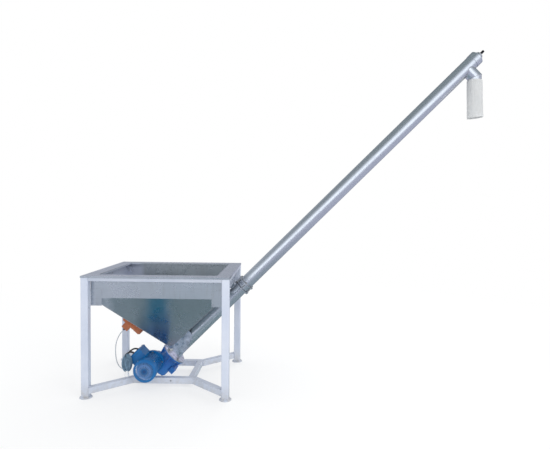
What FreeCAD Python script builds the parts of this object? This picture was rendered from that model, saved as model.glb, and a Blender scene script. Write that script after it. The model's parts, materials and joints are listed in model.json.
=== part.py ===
import FreeCAD, Part
import math
import os
import re
import Sketcher
from FreeCAD import Placement, Rotation, Vector

# Mobile grain auger: a square-tube frame carries a sheet-steel hopper, and an inclined
# tube with a screw lifts the grain from the hopper's outlet to a discharge spout.
# Millimetres. +Z is up, the front is -Y and the auger tube climbs towards +X.
# Sub-parts are drawn about the point on the floor under the frame's middle. The finished
# machine's origin is on the floor, in the middle of its overall length and width.

DIMENSIONS = [
    # frame
    ("frame_length", 1200, "outside of the legs along X"),
    ("frame_width", 1000, "outside of the legs along Y"),
    ("frame_top", 998, "top of the legs and rails"),
    ("leg_size", 60, "square tube of the legs"),
    ("leg_wall", 3, "wall of every frame tube"),
    ("leg_corner", 6, "outside corner radius of the legs"),
    ("rail_corner", 4, "outside corner radius of the rails and cross members"),
    ("rail_depth", 40, "height of the flat-lying top rails"),
    ("foot_radius", 50, "round foot plates"),
    ("foot_thick", 10, "foot plate thickness"),
    ("brace_size", 50, "square tube of the lower braces"),
    ("brace_bottom", 38, "underside of the lower braces"),
    ("brace_bow_x", 268, "half length of a brace's straight middle"),
    ("brace_bow_y", 225, "middle of the straight part from the centre plane"),
    ("cross_x", 240, "cross members from the centre plane"),
    ("brace_hole", 6, "radius of the cable hole in the front brace"),
    ("brace_hole_x", 70, "place of the cable hole"),
    # hopper
    ("sheet", 2, "hopper sheet thickness"),
    ("lip_drop", 15, "outer fold of the rim, over the rails"),
    ("fold_drop", 12, "inner fold of the rim"),
    ("mouth_x", 490, "half length of the hopper mouth"),
    ("mouth_y", 400, "half width of the hopper mouth"),
    ("skirt_gap", 0.5, "skirt to frame clearance"),
    ("skirt_bottom", 813, "lower edge of the straight skirt"),
    ("throat_left", -3, "left edge of the hopper's lowest opening"),
    ("throat_right", 39, "right edge of the hopper's lowest opening"),
    ("throat_y", 62, "half width of the lowest opening"),
    ("throat_height", 312, "height of the lowest opening"),
    ("gusset_long", 90, "corner gusset along X"),
    ("gusset_tall", 138, "corner gusset height"),
    ("gusset_top", 888, "upper edge of the corner gussets"),
    ("gusset_thick", 3, "corner gusset plate"),
    # auger tube, stations measured up the axis from the point above the origin
    ("axis_height", 185, "screw axis above the origin"),
    ("axis_angle", 45, "slope of the screw axis in degrees"),
    ("tube_radius", 60, "outside of the auger tube"),
    ("tube_wall", 3, "wall of the auger tube"),
    ("flange_radius", 115, "drive flange"),
    ("flange_thick", 10, "drive flange thickness"),
    ("gear_face", 57, "station of the gearbox's flange face"),
    ("plate_thick", 3, "inlet housing plate"),
    ("cheek_y", 60.5, "inside of the inlet housing's cheeks"),
    ("inlet_start", 90, "start of the inlet slot"),
    ("inlet_end", 290, "end of the inlet slot"),
    ("inlet_half", 50, "half width of the inlet slot"),
    ("flange_bolt_x", 62, "drive flange bolts from the axis, across the machine's slope"),
    ("flange_bolt_y", 78.5, "drive flange bolts from the centre plane"),
    ("nose_low", 105, "inlet housing's lowest point from the axis, at the drive flange"),
    ("nose_high", 62, "inlet housing's highest point from the axis"),
    ("ring_start", 933, "station of the joint's lower flange face"),
    ("ring_end", 977, "station of the joint's upper flange face"),
    ("joint_radius", 80, "tube joint flanges"),
    ("joint_thick", 8, "tube joint flange thickness"),
    ("joint_circle", 74, "bolt circle radius of the joint"),
    ("gasket", 2, "joint gasket thickness"),
    ("tube_end", 3845, "station of the tube's upper end"),
    ("spout_station", 3717, "station of the discharge spout"),
    ("spout_reach", 112, "spout length from the axis to its mitre"),
    ("spout_radius", 58, "outside of the spout"),
    ("spout_tail", 95, "vertical part of the spout"),
    ("cap_station", 3792, "start of the head cap"),
    ("cap_radius", 63, "outside of the head cap"),
    ("cap_plate", 4, "head cap end plate"),
    ("head_circle", 41, "bolt circle radius of the head bearing housing"),
    # discharge sleeve
    ("sleeve_radius", 69, "outside of the hanging sleeve"),
    ("sleeve_wall", 2, "sleeve fabric with its folds"),
    ("sleeve_bottom", 2366, "lower edge of the sleeve"),
    ("sleeve_top", 2706, "upper edge of the sleeve"),
    ("hem", 22, "height of the gathered hem"),
    # screw
    ("screw_radius", 53, "outside of the screw flight"),
    ("shaft_radius", 20, "screw shaft"),
    ("stub_radius", 17.5, "shaft in the gearbox"),
    ("head_radius", 12.5, "shaft in the head bearing"),
    ("tip_radius", 11, "shaft end outside the head bearing"),
    ("tip_start", 3885, "station of the step down to the shaft end"),
    ("pitch", 100, "pitch of the flight"),
    ("flight_thick", 3, "flight thickness"),
    ("flight_start", 80, "station of the first flight edge"),
    ("flight_turns", 36, "turns of the flight"),
    ("shaft_end", 3932, "station of the black shaft end"),
    # gear unit
    ("wheel_station", -97, "station of the worm wheel"),
    ("centres", 85, "screw axis to worm axis"),
    ("wheel_radius", 60, "worm wheel"),
    ("wheel_face", 40, "worm wheel width"),
    ("worm_radius", 24, "worm"),
    ("case_radius", 84, "gear case around the wheel"),
    ("case_start", -143, "station of the gear case's open end"),
    ("cover_thick", 12, "gear cover thickness"),
    ("cover_radius", 79, "gear cover"),
    ("cover_circle", 72.5, "bolt circle radius of the gear cover"),
    ("bearing_radius", 36, "outside of the wheel bearings"),
    ("worm_bearing", 26, "outside of the worm, motor and head bearings"),
    ("pad_radius", 100, "motor flange"),
    ("pad_thick", 12, "motor flange thickness"),
    ("motor_circle", 84, "bolt circle radius of the motor flange"),
    ("barrel_radius", 44, "gear case around the worm"),
    ("barrel_half", 80, "half length of the worm barrel"),
    ("teeth", 28, "worm wheel teeth"),
    ("running", 0.05, "radial clearance of a running fit"),
    # motor, stations measured from the screw axis plane towards the fan
    ("motor_radius", 86, "over the cooling fins"),
    ("frame_radius", 72, "motor frame under the fins"),
    ("fins", 32, "number of cooling fins"),
    ("shield_start", 90, "gearbox face of the motor"),
    ("bore_radius", 64, "bore of the motor frame"),
    ("stator_start", 107, "start of the finned frame"),
    ("stator_end", 285, "end of the finned frame"),
    ("cowl_radius", 98, "fan cover"),
    ("cowl_start", 288, "open end of the fan cover"),
    ("cowl_end", 355, "grille end of the fan cover"),
    ("box_half", 65, "half width of the terminal box"),
    ("box_start", 130, "near end of the terminal box"),
    ("box_end", 260, "far end of the terminal box"),
    ("box_base", 90, "foot of the terminal box from the motor axis"),
    ("box_top", 150, "joint of box and lid from the motor axis"),
    ("lid_top", 172, "outside of the lid from the motor axis"),
    # vibrator
    ("vibrator_place", 372, "distance down the left wall to the vibrator"),
    ("channel_high", 25, "mounting channel height"),
    ("channel_wide", 124, "mounting channel width"),
    ("channel_long", 260, "mounting channel length"),
    ("vibrator_radius", 51, "vibrator barrel"),
    ("vibrator_half", 72, "half length of the barrel"),
    ("vibrator_axis", 86, "vibrator shaft above the wall"),
    ("vibrator_box", 40, "vibrator's connection box beyond the barrel"),
    ("weight_radius", 40, "vibrator's unbalance weights"),
    # cables and fasteners
    ("cable_radius", 5, "power cable"),
    ("thin_cable", 4, "vibrator cable"),
    ("gland_bore", 5.4, "bore of a cable gland"),
    ("gland_long", 23, "length of a cable gland"),
    ("gland_place", 122, "glands of the terminal box from the motor axis"),
    ("gland_side", 28, "glands of the terminal box from its middle"),
    ("coil_wide", 40, "half width of the coil of spare power cable"),
    ("coil_tall", 76, "half height of the coil"),
    ("coil_pitch", 11.5, "distance between the coil's turns"),
    ("plug_radius", 18, "mains plug"),
    ("plug_long", 46, "mains plug length"),
    ("thick_bolt", 5, "radius of a ten millimetre bolt"),
    ("thick_hole", 5.5, "its clearance hole"),
    ("thick_hex", 9.2, "its head and nut over the corners, from the middle"),
    ("thick_head", 6.4, "its head height"),
    ("thick_nut", 8, "its nut height"),
    ("slim_bolt", 4, "radius of an eight millimetre bolt"),
    ("slim_hole", 4.5, "its clearance hole"),
    ("slim_hex", 7.2, "its head and nut over the corners, from the middle"),
    ("slim_head", 5.3, "its head height"),
    ("slim_nut", 6.5, "its nut height"),
]

doc = FreeCAD.newDocument("grain_auger")
sheet = doc.addObject("Spreadsheet::Sheet", "Sizes")
for row, (alias, number, note) in enumerate(DIMENSIONS, start=1):
    sheet.set(f"A{row}", note)
    sheet.set(f"B{row}", str(number))
    sheet.setAlias(f"B{row}", alias)
doc.recompute()

FUNCTIONS = {"sqrt", "tan", "atan", "cos", "sin"}
QUARTERS = [(-1, -1), (1, -1), (-1, 1), (1, 1)]
HEAD_DOWN = Rotation(Vector(1, 0, 0), 180)
SUBPARTS = []


def formula(text):
    """Spell a formula on the sheet's names the way an expression binding needs it."""
    def spell(word):
        return word.group() if word.group() in FUNCTIONS else "Sizes." + word.group()
    if isinstance(text, float):
        text = f"{text:.6f}"
    return re.sub(r"[a-z_]+", spell, str(text))


def value(text):
    """The number that a formula on the sheet's names gives."""
    answer = sheet.evalExpression(formula(text))
    return float(getattr(answer, "Value", answer))


# ---------------------------------------------------------------- building blocks

def new_body(label):
    body = doc.addObject("PartDesign::Body", label)
    body.Label = label
    return body


def new_sketch(body, role, offset="0"):
    """A sketch on one of the body's own origin planes, raised by an offset along its normal."""
    sketch = body.newObject("Sketcher::SketchObject", body.Name + "_sketch")
    plane = next(item for item in body.Origin.OriginFeatures if item.Role == role)
    sketch.AttachmentSupport = [(plane, "")]
    sketch.MapMode = "FlatFace"
    sketch.setExpression("AttachmentOffset.Base.z", formula(offset))
    return sketch


def hold(sketch, geometry, point, across, up):
    """Fix a point of a sketch by its two distances from the origin."""
    for kind, distance in (("DistanceX", across), ("DistanceY", up)):
        constraint = Sketcher.Constraint(kind, -1, 1, geometry, point, value(distance))
        index = sketch.addConstraint(constraint)
        sketch.setExpression(f"Constraints[{index}]", formula(distance))


def outline(sketch, corners):
    """A closed polygon through the corners."""
    start = sketch.GeometryCount
    places = [Vector(value(across), value(up), 0) for across, up in corners]
    for index, place in enumerate(places):
        sketch.addGeometry(Part.LineSegment(place, places[(index + 1) % len(places)]), False)
    for index, (across, up) in enumerate(corners):
        line = start + index
        following = start + (index + 1) % len(corners)
        sketch.addConstraint(Sketcher.Constraint("Coincident", line, 2, following, 1))
        hold(sketch, line, 1, across, up)


def rectangle(sketch, half_x, half_y, x="0", y="0"):
    outline(sketch, [(f"{x} - ({half_x})", f"{y} - ({half_y})"), (f"{x} + {half_x}", f"{y} - ({half_y})"),
                     (f"{x} + {half_x}", f"{y} + {half_y}"), (f"{x} - ({half_x})", f"{y} + {half_y}")])


def circle(sketch, radius, across="0", up="0"):
    place = Vector(value(across), value(up), 0)
    index = sketch.addGeometry(Part.Circle(place, Vector(0, 0, 1), value(radius)), False)
    hold(sketch, index, 3, across, up)
    constraint = sketch.addConstraint(Sketcher.Constraint("Radius", index, value(radius)))
    sketch.setExpression(f"Constraints[{constraint}]", formula(radius))


def pad(body, sketch, length, midplane=False, downward=False):
    feature = body.newObject("PartDesign::Pad", body.Name + "_pad")
    feature.Profile = sketch
    feature.Midplane = midplane
    feature.Reversed = downward
    feature.setExpression("Length", formula(length))
    body.Tip = feature
    return feature


def pocket(body, sketch, length, upward=True, midplane=False):
    """Cut a sketch's outline out of the body, along the sketch's normal unless turned."""
    feature = body.newObject("PartDesign::Pocket", body.Name + "_pocket")
    feature.Profile = sketch
    feature.Midplane = midplane
    feature.Reversed = upward
    feature.setExpression("Length", formula(length))
    body.Tip = feature
    return feature


def polar(body, feature, count, axis_role="Z_Axis"):
    """Repeat a feature round one of the body's axes."""
    pattern = body.newObject("PartDesign::PolarPattern", body.Name + "_pattern")
    pattern.Originals = [feature]
    axis = next(item for item in body.Origin.OriginFeatures if item.Role == axis_role)
    pattern.Axis = (axis, [""])
    pattern.Angle = 360
    pattern.setExpression("Occurrences", formula(count))
    body.Tip = pattern
    return pattern


def turned(label, profile):
    """A body turned round its Z axis; the profile is a closed list of (radius, height)."""
    body = new_body(label)
    sketch = new_sketch(body, "XZ_Plane")
    outline(sketch, profile)
    feature = body.newObject("PartDesign::Revolution", label + "_turn")
    feature.Profile = sketch
    feature.ReferenceAxis = (sketch, ["V_Axis"])
    feature.Angle = 360
    body.Tip = feature
    return body


def ring(label, inner, outer, start, end):
    """A plain ring or tube from one height to another."""
    return turned(label, [(inner, start), (outer, start), (outer, end), (inner, end)])


def cut_by(label, base, tools):
    """Cut one or more tools out of a base."""
    for number, tool in enumerate(tools):
        piece = doc.addObject("Part::Cut", f"{label}_cut_{number}")
        piece.Base = base
        piece.Tool = tool
        base = piece
    return base


def fused(label, shapes):
    piece = doc.addObject("Part::MultiFuse", label + "_union")
    piece.Shapes = shapes
    return piece


def cylinder(name, radius, length, placement):
    piece = doc.addObject("Part::Cylinder", name)
    piece.setExpression("Radius", formula(radius))
    piece.setExpression("Height", formula(length))
    piece.Placement = placement
    return piece


def block(name, low, high):
    """A box between two corners that are given as formulas."""
    piece = doc.addObject("Part::Box", name)
    for side, axis in enumerate("xyz"):
        length = ("Length", "Width", "Height")[side]
        piece.setExpression(length, formula(f"({high[side]}) - ({low[side]})"))
        piece.setExpression(f"Placement.Base.{axis}", formula(low[side]))
    return piece


def finish(piece, label, placement=Placement()):
    """Name a finished sub-part, set it in the machine's frame and list it."""
    piece.Label = label
    piece.Placement = TO_ORIGIN.multiply(placement).multiply(piece.Placement)
    SUBPARTS.append(piece)
    return piece


def group(label, master, placements):
    """Copies of one master solid, kept as separate solids in one sub-part."""
    doc.recompute()
    piece = doc.addObject("Part::Feature", label)
    copies = []
    for placement in placements:
        copy = master.Shape.copy()
        copy.Placement = placement.multiply(copy.Placement)
        copies.append(copy)
    piece.Shape = Part.makeCompound(copies)
    return finish(piece, label)


def square_tube(label, half_x, half_y, length, corner=None):
    """A hollow rectangular tube that stands on its own XY plane."""
    body = new_body(label)
    sketch = new_sketch(body, "XY_Plane")
    rectangle(sketch, half_x, half_y)
    rectangle(sketch, f"{half_x} - leg_wall", f"{half_y} - leg_wall")
    bar = pad(body, sketch, length)
    if corner:
        doc.recompute()
        rounded = body.newObject("PartDesign::Fillet", label + "_corners")
        outer = [f"Edge{number}" for number, edge in enumerate(bar.Shape.Edges, start=1)
                 if long_outer_edge(edge, value(half_x), value(half_y))]
        rounded.Base = (bar, outer)
        rounded.setExpression("Radius", formula(corner))
        body.Tip = rounded
    return body


def long_outer_edge(edge, half_x, half_y):
    """True for an edge along Z at an outside corner of a rectangular tube."""
    middle = edge.CenterOfMass
    upright = abs(edge.BoundBox.ZLength - edge.Length) < 0.01
    return upright and abs(abs(middle.x) - half_x) < 0.01 and abs(abs(middle.y) - half_y) < 0.01


def hexagon(radius):
    return [(f"{radius} * {math.cos(math.pi * step / 3):.6f}",
             f"{radius} * {math.sin(math.pi * step / 3):.6f}") for step in range(6)]


def bolt_master(name, size, length):
    """A thick or slim hexagon bolt: head below its XY plane, shank along +Z."""
    body = new_body(name)
    head = new_sketch(body, "XY_Plane")
    outline(head, hexagon(size + "_hex"))
    pad(body, head, size + "_head", downward=True)
    shank = new_sketch(body, "XY_Plane")
    circle(shank, size + "_bolt")
    pad(body, shank, length)
    return body


def nut_master(name, size):
    """A thick or slim hexagon nut that stands on its XY plane."""
    body = new_body(name)
    sketch = new_sketch(body, "XY_Plane")
    outline(sketch, hexagon(size + "_hex"))
    circle(sketch, size + "_bolt")
    pad(body, sketch, size + "_nut")
    return body


def moved(x=0, y=0, z=0, axis=Vector(0, 0, 1), angle=0):
    return Placement(Vector(x, y, z), Rotation(axis, angle))


def on_axis(station, axis=Vector(0, 0, 1), angle=0):
    """Z climbs the screw axis and X points down to the right, at a station on the axis."""
    tilt = Rotation(Vector(0, 1, 0), 90 - value("axis_angle"))
    climb = tilt.multVec(Vector(0, 0, value(station)))
    base = Vector(0, 0, value("axis_height")) + climb
    return Placement(base, tilt.multiply(Rotation(axis, angle)))


def round_circle(circle_name, count, start_angle=0):
    """Points spaced evenly round Z, on a circle whose radius is in the sheet."""
    radius = value(circle_name)
    places = []
    for step in range(count):
        angle = math.radians(start_angle + 360 * step / count)
        places.append(Vector(radius * math.cos(angle), radius * math.sin(angle), 0))
    return places


# From the frame's middle to the middle of the overall length, which runs from the left
# feet to the upper corner of the shaft end.
RIGHT_END = value("(shaft_end + tip_radius - 2) / sqrt(2)")
LEFT_END = value("-(frame_length) / 2 + leg_size / 2 - foot_radius")
TO_ORIGIN = moved(x=-(LEFT_END + RIGHT_END) / 2)

# Z along the motor shaft towards the fan, X as for the screw axis, origin where the
# worm crosses the wheel's middle plane.
MOTOR_FRAME = on_axis("wheel_station").multiply(
    Placement(Vector(-value("centres"), 0, 0), Rotation(Vector(1, 0, 0), 90)))

# ---------------------------------------------------------------- frame


def build_frame():
    leg_x = value("(frame_length - leg_size) / 2")
    leg_y = value("(frame_width - leg_size) / 2")
    foot_thick = value("foot_thick")
    names = ("front_left", "front_right", "rear_left", "rear_right")
    for name, (side_x, side_y) in zip(names, QUARTERS):
        leg = square_tube("leg_" + name, "leg_size / 2", "leg_size / 2",
                          "frame_top - foot_thick", "leg_corner")
        finish(leg, "leg_" + name, moved(side_x * leg_x, side_y * leg_y, foot_thick))
    plate = turned("foot_plate_master", [
        ("0", "0"), ("foot_radius", "0"), ("foot_radius", "foot_thick * 0.6"),
        ("foot_radius - 6", "foot_thick"), ("0", "foot_thick")])
    group("foot_plates", plate, [moved(x * leg_x, y * leg_y) for x, y in QUARTERS])

    rail_z = value("frame_top - rail_depth / 2")
    long_rail = square_tube("long_rail_master", "rail_depth / 2", "leg_size / 2",
                            "frame_length - 2 * leg_size", "rail_corner")
    lying_x = Vector(0, 1, 0)
    half_long = value("frame_length / 2 - leg_size")
    group("top_rails_long", long_rail,
          [moved(-half_long, side * leg_y, rail_z, lying_x, 90) for side in (-1, 1)])
    short_rail = square_tube("short_rail_master", "leg_size / 2", "rail_depth / 2",
                             "frame_width - 2 * leg_size", "rail_corner")
    lying_y = Vector(1, 0, 0)
    half_short = value("frame_width / 2 - leg_size")
    group("top_rails_short", short_rail,
          [moved(side * leg_x, half_short, rail_z, lying_y, 90) for side in (-1, 1)])

    brace = bent_brace("brace_master")
    drilled = cut_by("lower_brace_front", brace, [brace_hole()])
    finish(drilled, "lower_brace_front")
    doc.recompute()
    group("lower_brace_rear", brace, [moved(0, 0, 0, Vector(0, 0, 1), 180)])
    cross = square_tube("cross_master", "brace_size / 2", "brace_size / 2",
                        "2 * brace_bow_y - brace_size", "rail_corner")
    cross_z = value("brace_bottom + brace_size / 2")
    half_cross = value("brace_bow_y - brace_size / 2")
    cross_x = value("cross_x")
    group("cross_members", cross,
          [moved(side * cross_x, half_cross, cross_z, lying_y, 90) for side in (-1, 1)])


def brace_outline(half):
    """Plan of a brace that runs from leg to leg and bows towards the middle, half a width each side."""
    slant = ("atan((frame_width / 2 - leg_size / 2 - brace_bow_y)"
             " / (frame_length / 2 - leg_size - brace_bow_x))")
    shift = f"{half} * tan({slant} / 2)"
    end_half = f"{half} / cos({slant})"
    end_x = "frame_length / 2 - leg_size"
    end_y = "frame_width / 2 - leg_size / 2 - 3"
    return [(f"-({end_x})", f"-({end_y}) - {end_half}"),
            (f"-(brace_bow_x) + {shift}", f"-(brace_bow_y) - ({half})"),
            (f"brace_bow_x - {shift}", f"-(brace_bow_y) - ({half})"),
            (end_x, f"-({end_y}) - {end_half}"),
            (end_x, f"-({end_y}) + {end_half}"),
            (f"brace_bow_x + {shift}", f"-(brace_bow_y) + {half}"),
            (f"-(brace_bow_x) - {shift}", f"-(brace_bow_y) + {half}"),
            (f"-({end_x})", f"-({end_y}) + {end_half}")]


def bent_brace(name):
    body = new_body(name)
    outside = new_sketch(body, "XY_Plane", "brace_bottom")
    outline(outside, brace_outline("brace_size / 2"))
    pad(body, outside, "brace_size")
    inside = new_sketch(body, "XY_Plane", "brace_bottom + leg_wall")
    outline(inside, brace_outline("(brace_size / 2 - leg_wall)"))
    pocket(body, inside, "brace_size - 2 * leg_wall")
    return body


def brace_hole():
    """The drill that makes the cable hole in the front brace's outer wall."""
    place = moved(value("brace_hole_x"), value("-(brace_bow_y) - brace_size"),
                  value("brace_bottom + brace_size / 2"),
                  Vector(1, 0, 0), -90)
    return cylinder("brace_drill", "brace_hole", "brace_size", place)


# ---------------------------------------------------------------- hopper


def build_hopper():
    rim = new_body("hopper_rim")
    top = new_sketch(rim, "XY_Plane", "frame_top")
    rectangle(top, "(frame_length / 2 + sheet)", "(frame_width / 2 + sheet)")
    rectangle(top, "mouth_x", "mouth_y")
    pad(rim, top, "sheet")
    lip = new_sketch(rim, "XY_Plane", "frame_top")
    rectangle(lip, "(frame_length / 2 + sheet)", "(frame_width / 2 + sheet)")
    rectangle(lip, "frame_length / 2", "frame_width / 2")
    pad(rim, lip, "lip_drop - sheet", downward=True)
    fold = new_sketch(rim, "XY_Plane", "frame_top")
    rectangle(fold, "(mouth_x + sheet)", "(mouth_y + sheet)")
    rectangle(fold, "mouth_x", "mouth_y")
    pad(rim, fold, "fold_drop", downward=True)
    finish(rim, "hopper_rim")

    skirt_x = "(frame_length / 2 - leg_size - skirt_gap)"
    skirt_y = "(frame_width / 2 - leg_size - skirt_gap)"
    skirt = new_body("hopper_skirt")
    wall = new_sketch(skirt, "XY_Plane", "skirt_bottom")
    rectangle(wall, skirt_x, skirt_y)
    rectangle(wall, f"({skirt_x} - sheet)", f"({skirt_y} - sheet)")
    pad(skirt, wall, "frame_top - skirt_bottom")
    finish(skirt, "hopper_skirt")

    cone = new_body("hopper_cone_walls")
    solid = cone.newObject("PartDesign::AdditiveLoft", "hopper_cone_outside")
    solid.Profile, solid.Sections = cone_sections(cone, skirt_x, skirt_y, "0")
    solid.Ruled = True
    doc.recompute()
    hollow = cone.newObject("PartDesign::SubtractiveLoft", "hopper_cone_inside")
    hollow.Profile, hollow.Sections = cone_sections(cone, skirt_x, skirt_y, "sheet * sqrt(2)")
    hollow.Ruled = True
    cone.Tip = hollow
    slot = block("cone_slot", ("-(tube_radius) - 40", "-(inlet_half)", "inlet_start"),
                 ("-(tube_radius) + 10", "inlet_half", "inlet_end"))
    slot.Placement = on_axis("0").multiply(slot_place("-(tube_radius) - 40", "-(inlet_half)", "inlet_start"))
    finish(cut_by("hopper_cone", cone, [slot]), "hopper_cone")
    build_gussets()


def slot_place(x, y, z):
    return moved(value(x), value(y), value(z))


def cone_sections(body, skirt_x, skirt_y, inset):
    """The cone's upper and lower outlines, drawn in by an inset."""
    upper = new_sketch(body, "XY_Plane", "skirt_bottom")
    rectangle(upper, f"({skirt_x} - {inset})", f"({skirt_y} - {inset})")
    lower = new_sketch(body, "XY_Plane", "throat_height")
    left = f"throat_left + {inset}"
    right = f"throat_right - {inset}"
    near = f"throat_y - {inset}"
    outline(lower, [(left, f"-({near})"), (right, f"-({near})"), (right, near), (left, near)])
    return upper, [lower]


def build_gussets():
    """Four plates that tie the skirt's lower corners to the legs."""
    plate = new_body("gusset_master")
    face = new_sketch(plate, "XZ_Plane")
    outline(face, [("0", "0"), ("gusset_long", "0"), ("gusset_long", "gusset_tall"), ("0", "gusset_tall")])
    pad(plate, face, "gusset_thick")
    edge_x = value("frame_length / 2 - leg_size")
    edge_y = value("frame_width / 2 - leg_size - skirt_gap")
    low = value("gusset_top - gusset_tall")
    thick = value("gusset_thick")
    long = value("gusset_long")
    places = [moved(-edge_x, -edge_y, low), moved(edge_x - long, -edge_y, low),
              moved(-edge_x, edge_y + thick, low), moved(edge_x - long, edge_y + thick, low)]
    group("hopper_gussets", plate, places)


# ---------------------------------------------------------------- inlet and drive flange


def build_inlet():
    """Box that joins the hopper's throat to the tube, with a plate that closes its lower end."""
    face = value("gear_face + flange_thick")
    shell = new_body("inlet_housing")
    side = new_sketch(shell, "XZ_Plane")
    outline(side, [("nose_high", face), ("-(nose_low)", face), ("-(nose_low) + 13", face + 20),
                   ("-(tube_radius) - 1", face + 51), ("-(tube_radius) - 1", "inlet_end + 10"),
                   ("-54", "inlet_end + 31"), ("-8", "inlet_end + 25"), ("24", "inlet_end - 7"),
                   ("nose_high - 11", face + 93), ("nose_high", face + 43)])
    pad(shell, side, "2 * (cheek_y + plate_thick)", midplane=True)
    room = new_sketch(shell, "XZ_Plane")
    inner = "gear_face + flange_thick + plate_thick"
    outline(room, [("nose_high + 18", inner), ("-(nose_low) + plate_thick", inner),
                   ("-(nose_low) + 16", face + 19), ("-(nose_low) + 9", face + 28),
                   ("-75", "inlet_end + 50"), ("nose_high + 18", "inlet_end + 50")])
    pocket(shell, room, "2 * cheek_y", midplane=True)
    bore = new_sketch(shell, "XY_Plane", "gear_face")
    circle(bore, "shaft_radius + 1")
    pocket(shell, bore, "flange_thick + 2 * plate_thick")
    finish(shell, "inlet_housing", on_axis("0"))

    flange = new_body("drive_flange")
    sketch = new_sketch(flange, "XY_Plane", "gear_face")
    circle(sketch, "flange_radius")
    circle(sketch, "shaft_radius + 10")
    for side_x, side_y in QUARTERS:
        circle(sketch, "thick_hole", f"{side_x} * flange_bolt_x", f"{side_y} * flange_bolt_y")
    pad(flange, sketch, "flange_thick")
    finish(flange, "drive_flange", on_axis("0"))
    seal = ring("shaft_seal", "shaft_radius + running", "shaft_radius + 10",
                "gear_face", "gear_face + flange_thick")
    finish(seal, "shaft_seal", on_axis("0"))

    bolts = [on_axis("gear_face + flange_thick").multiply(Placement(place, HEAD_DOWN))
             for place in flange_bolt_places()]
    nuts = [on_axis("gear_face - 12 - thick_nut").multiply(Placement(place, Rotation()))
            for place in flange_bolt_places()]
    bolt = bolt_master("flange_bolt_master", "thick", "flange_thick + 21")
    nut = nut_master("flange_nut_master", "thick")
    fasteners("drive_flange_bolts", [(bolt, bolts), (nut, nuts)])


def flange_bolt_places():
    across, deep = value("flange_bolt_x"), value("flange_bolt_y")
    return [Vector(side_x * across, side_y * deep, 0) for side_x, side_y in QUARTERS]


def fasteners(label, sets):
    """Bolts and nuts of one joint in one sub-part."""
    doc.recompute()
    solids = []
    for master, placements in sets:
        for placement in placements:
            copy = master.Shape.copy()
            copy.Placement = placement.multiply(copy.Placement)
            solids.append(copy)
    piece = doc.addObject("Part::Feature", label)
    piece.Shape = Part.makeCompound(solids)
    return finish(piece, label)


# ---------------------------------------------------------------- auger tube and head


def build_tube():
    inside = "tube_radius - tube_wall"
    low_face = "ring_start - gasket"
    lower = turned("lower_tube_shell", [
        (inside, "gear_face + flange_thick + plate_thick"),
        ("tube_radius", "gear_face + flange_thick + plate_thick"),
        ("tube_radius", f"{low_face} - joint_thick"), ("joint_radius", f"{low_face} - joint_thick"),
        ("joint_radius", low_face), (inside, low_face)])
    joint_holes(lower, f"{low_face} - joint_thick - 1")
    slot = block("inlet_slot", ("-(tube_radius) - 10", "-(inlet_half)", "inlet_start"),
                 ("0", "inlet_half", "inlet_end"))
    finish(cut_by("lower_tube", lower, [slot]), "lower_tube", on_axis("0"))

    up_face = "ring_end + gasket"
    upper = turned("upper_tube_shell", [
        (inside, up_face), ("joint_radius", up_face), ("joint_radius", f"{up_face} + joint_thick"),
        ("tube_radius", f"{up_face} + joint_thick"), ("tube_radius", "tube_end"), (inside, "tube_end")])
    joint_holes(upper, f"{up_face} - 1")
    opening = cylinder("spout_opening", "spout_radius - tube_wall", "tube_radius + 20",
                       moved(0, 0, value("spout_station"), Vector(0, 1, 0), 90))
    finish(cut_by("upper_tube", upper, [opening]), "upper_tube", on_axis("0"))

    gasket = ring("gasket_master", inside, "tube_radius + 8", "0", "gasket")
    group("tube_joint_gaskets", gasket, [on_axis(low_face), on_axis("ring_end")])

    grip = f"{up_face} + joint_thick - ({low_face} - joint_thick)"
    places = round_circle("joint_circle", 6, 30)
    bolt = bolt_master("joint_bolt_master", "thick", f"{grip} + 12")
    nut = nut_master("joint_nut_master", "thick")
    bolts = [on_axis(f"{low_face} - joint_thick").multiply(Placement(place, Rotation())) for place in places]
    nuts = [on_axis(f"{up_face} + joint_thick").multiply(Placement(place, Rotation())) for place in places]
    fasteners("tube_joint_bolts", [(bolt, bolts), (nut, nuts)])
    build_hanger(inside)


def joint_holes(body, start):
    """Bolt holes through a joint flange of the auger tube."""
    holes = new_sketch(body, "XY_Plane", start)
    for place in round_circle("joint_circle", 6, 30):
        circle(holes, "thick_hole", place.x, place.y)
    pocket(body, holes, "joint_thick + 2")


def build_hanger(inside):
    """Ring between the joint flanges, with a web and foot under the right-hand top rail."""
    collar = ring("hanger_ring", "0", "tube_radius + 6", "ring_start", "ring_end")
    collar.Placement = on_axis("0")
    bore = cylinder("hanger_bore", inside, "200", on_axis("ring_start - 50"))
    web = new_body("hanger_web")
    side = new_sketch(web, "XZ_Plane")
    rail_low = "frame_top - rail_depth"
    rail_out = "frame_length / 2"
    outline(side, [(f"{rail_out} - 52", f"{rail_low} - 6"), (rail_out, f"{rail_low} - 6"),
                   (f"{rail_out} + 45", f"{rail_low} - 40"), (f"{rail_out} + 18", f"{rail_low} - 67"),
                   (f"{rail_out} - 52", f"{rail_low} - 28")])
    pad(web, side, "8", midplane=True)
    foot = block("hanger_foot", (f"{rail_out} - 58", "-35", f"{rail_low} - 6"), (rail_out, "35", rail_low))
    finish(cut_by("tube_hanger", fused("tube_hanger", [collar, web, foot]), [bore]), "tube_hanger")


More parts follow.
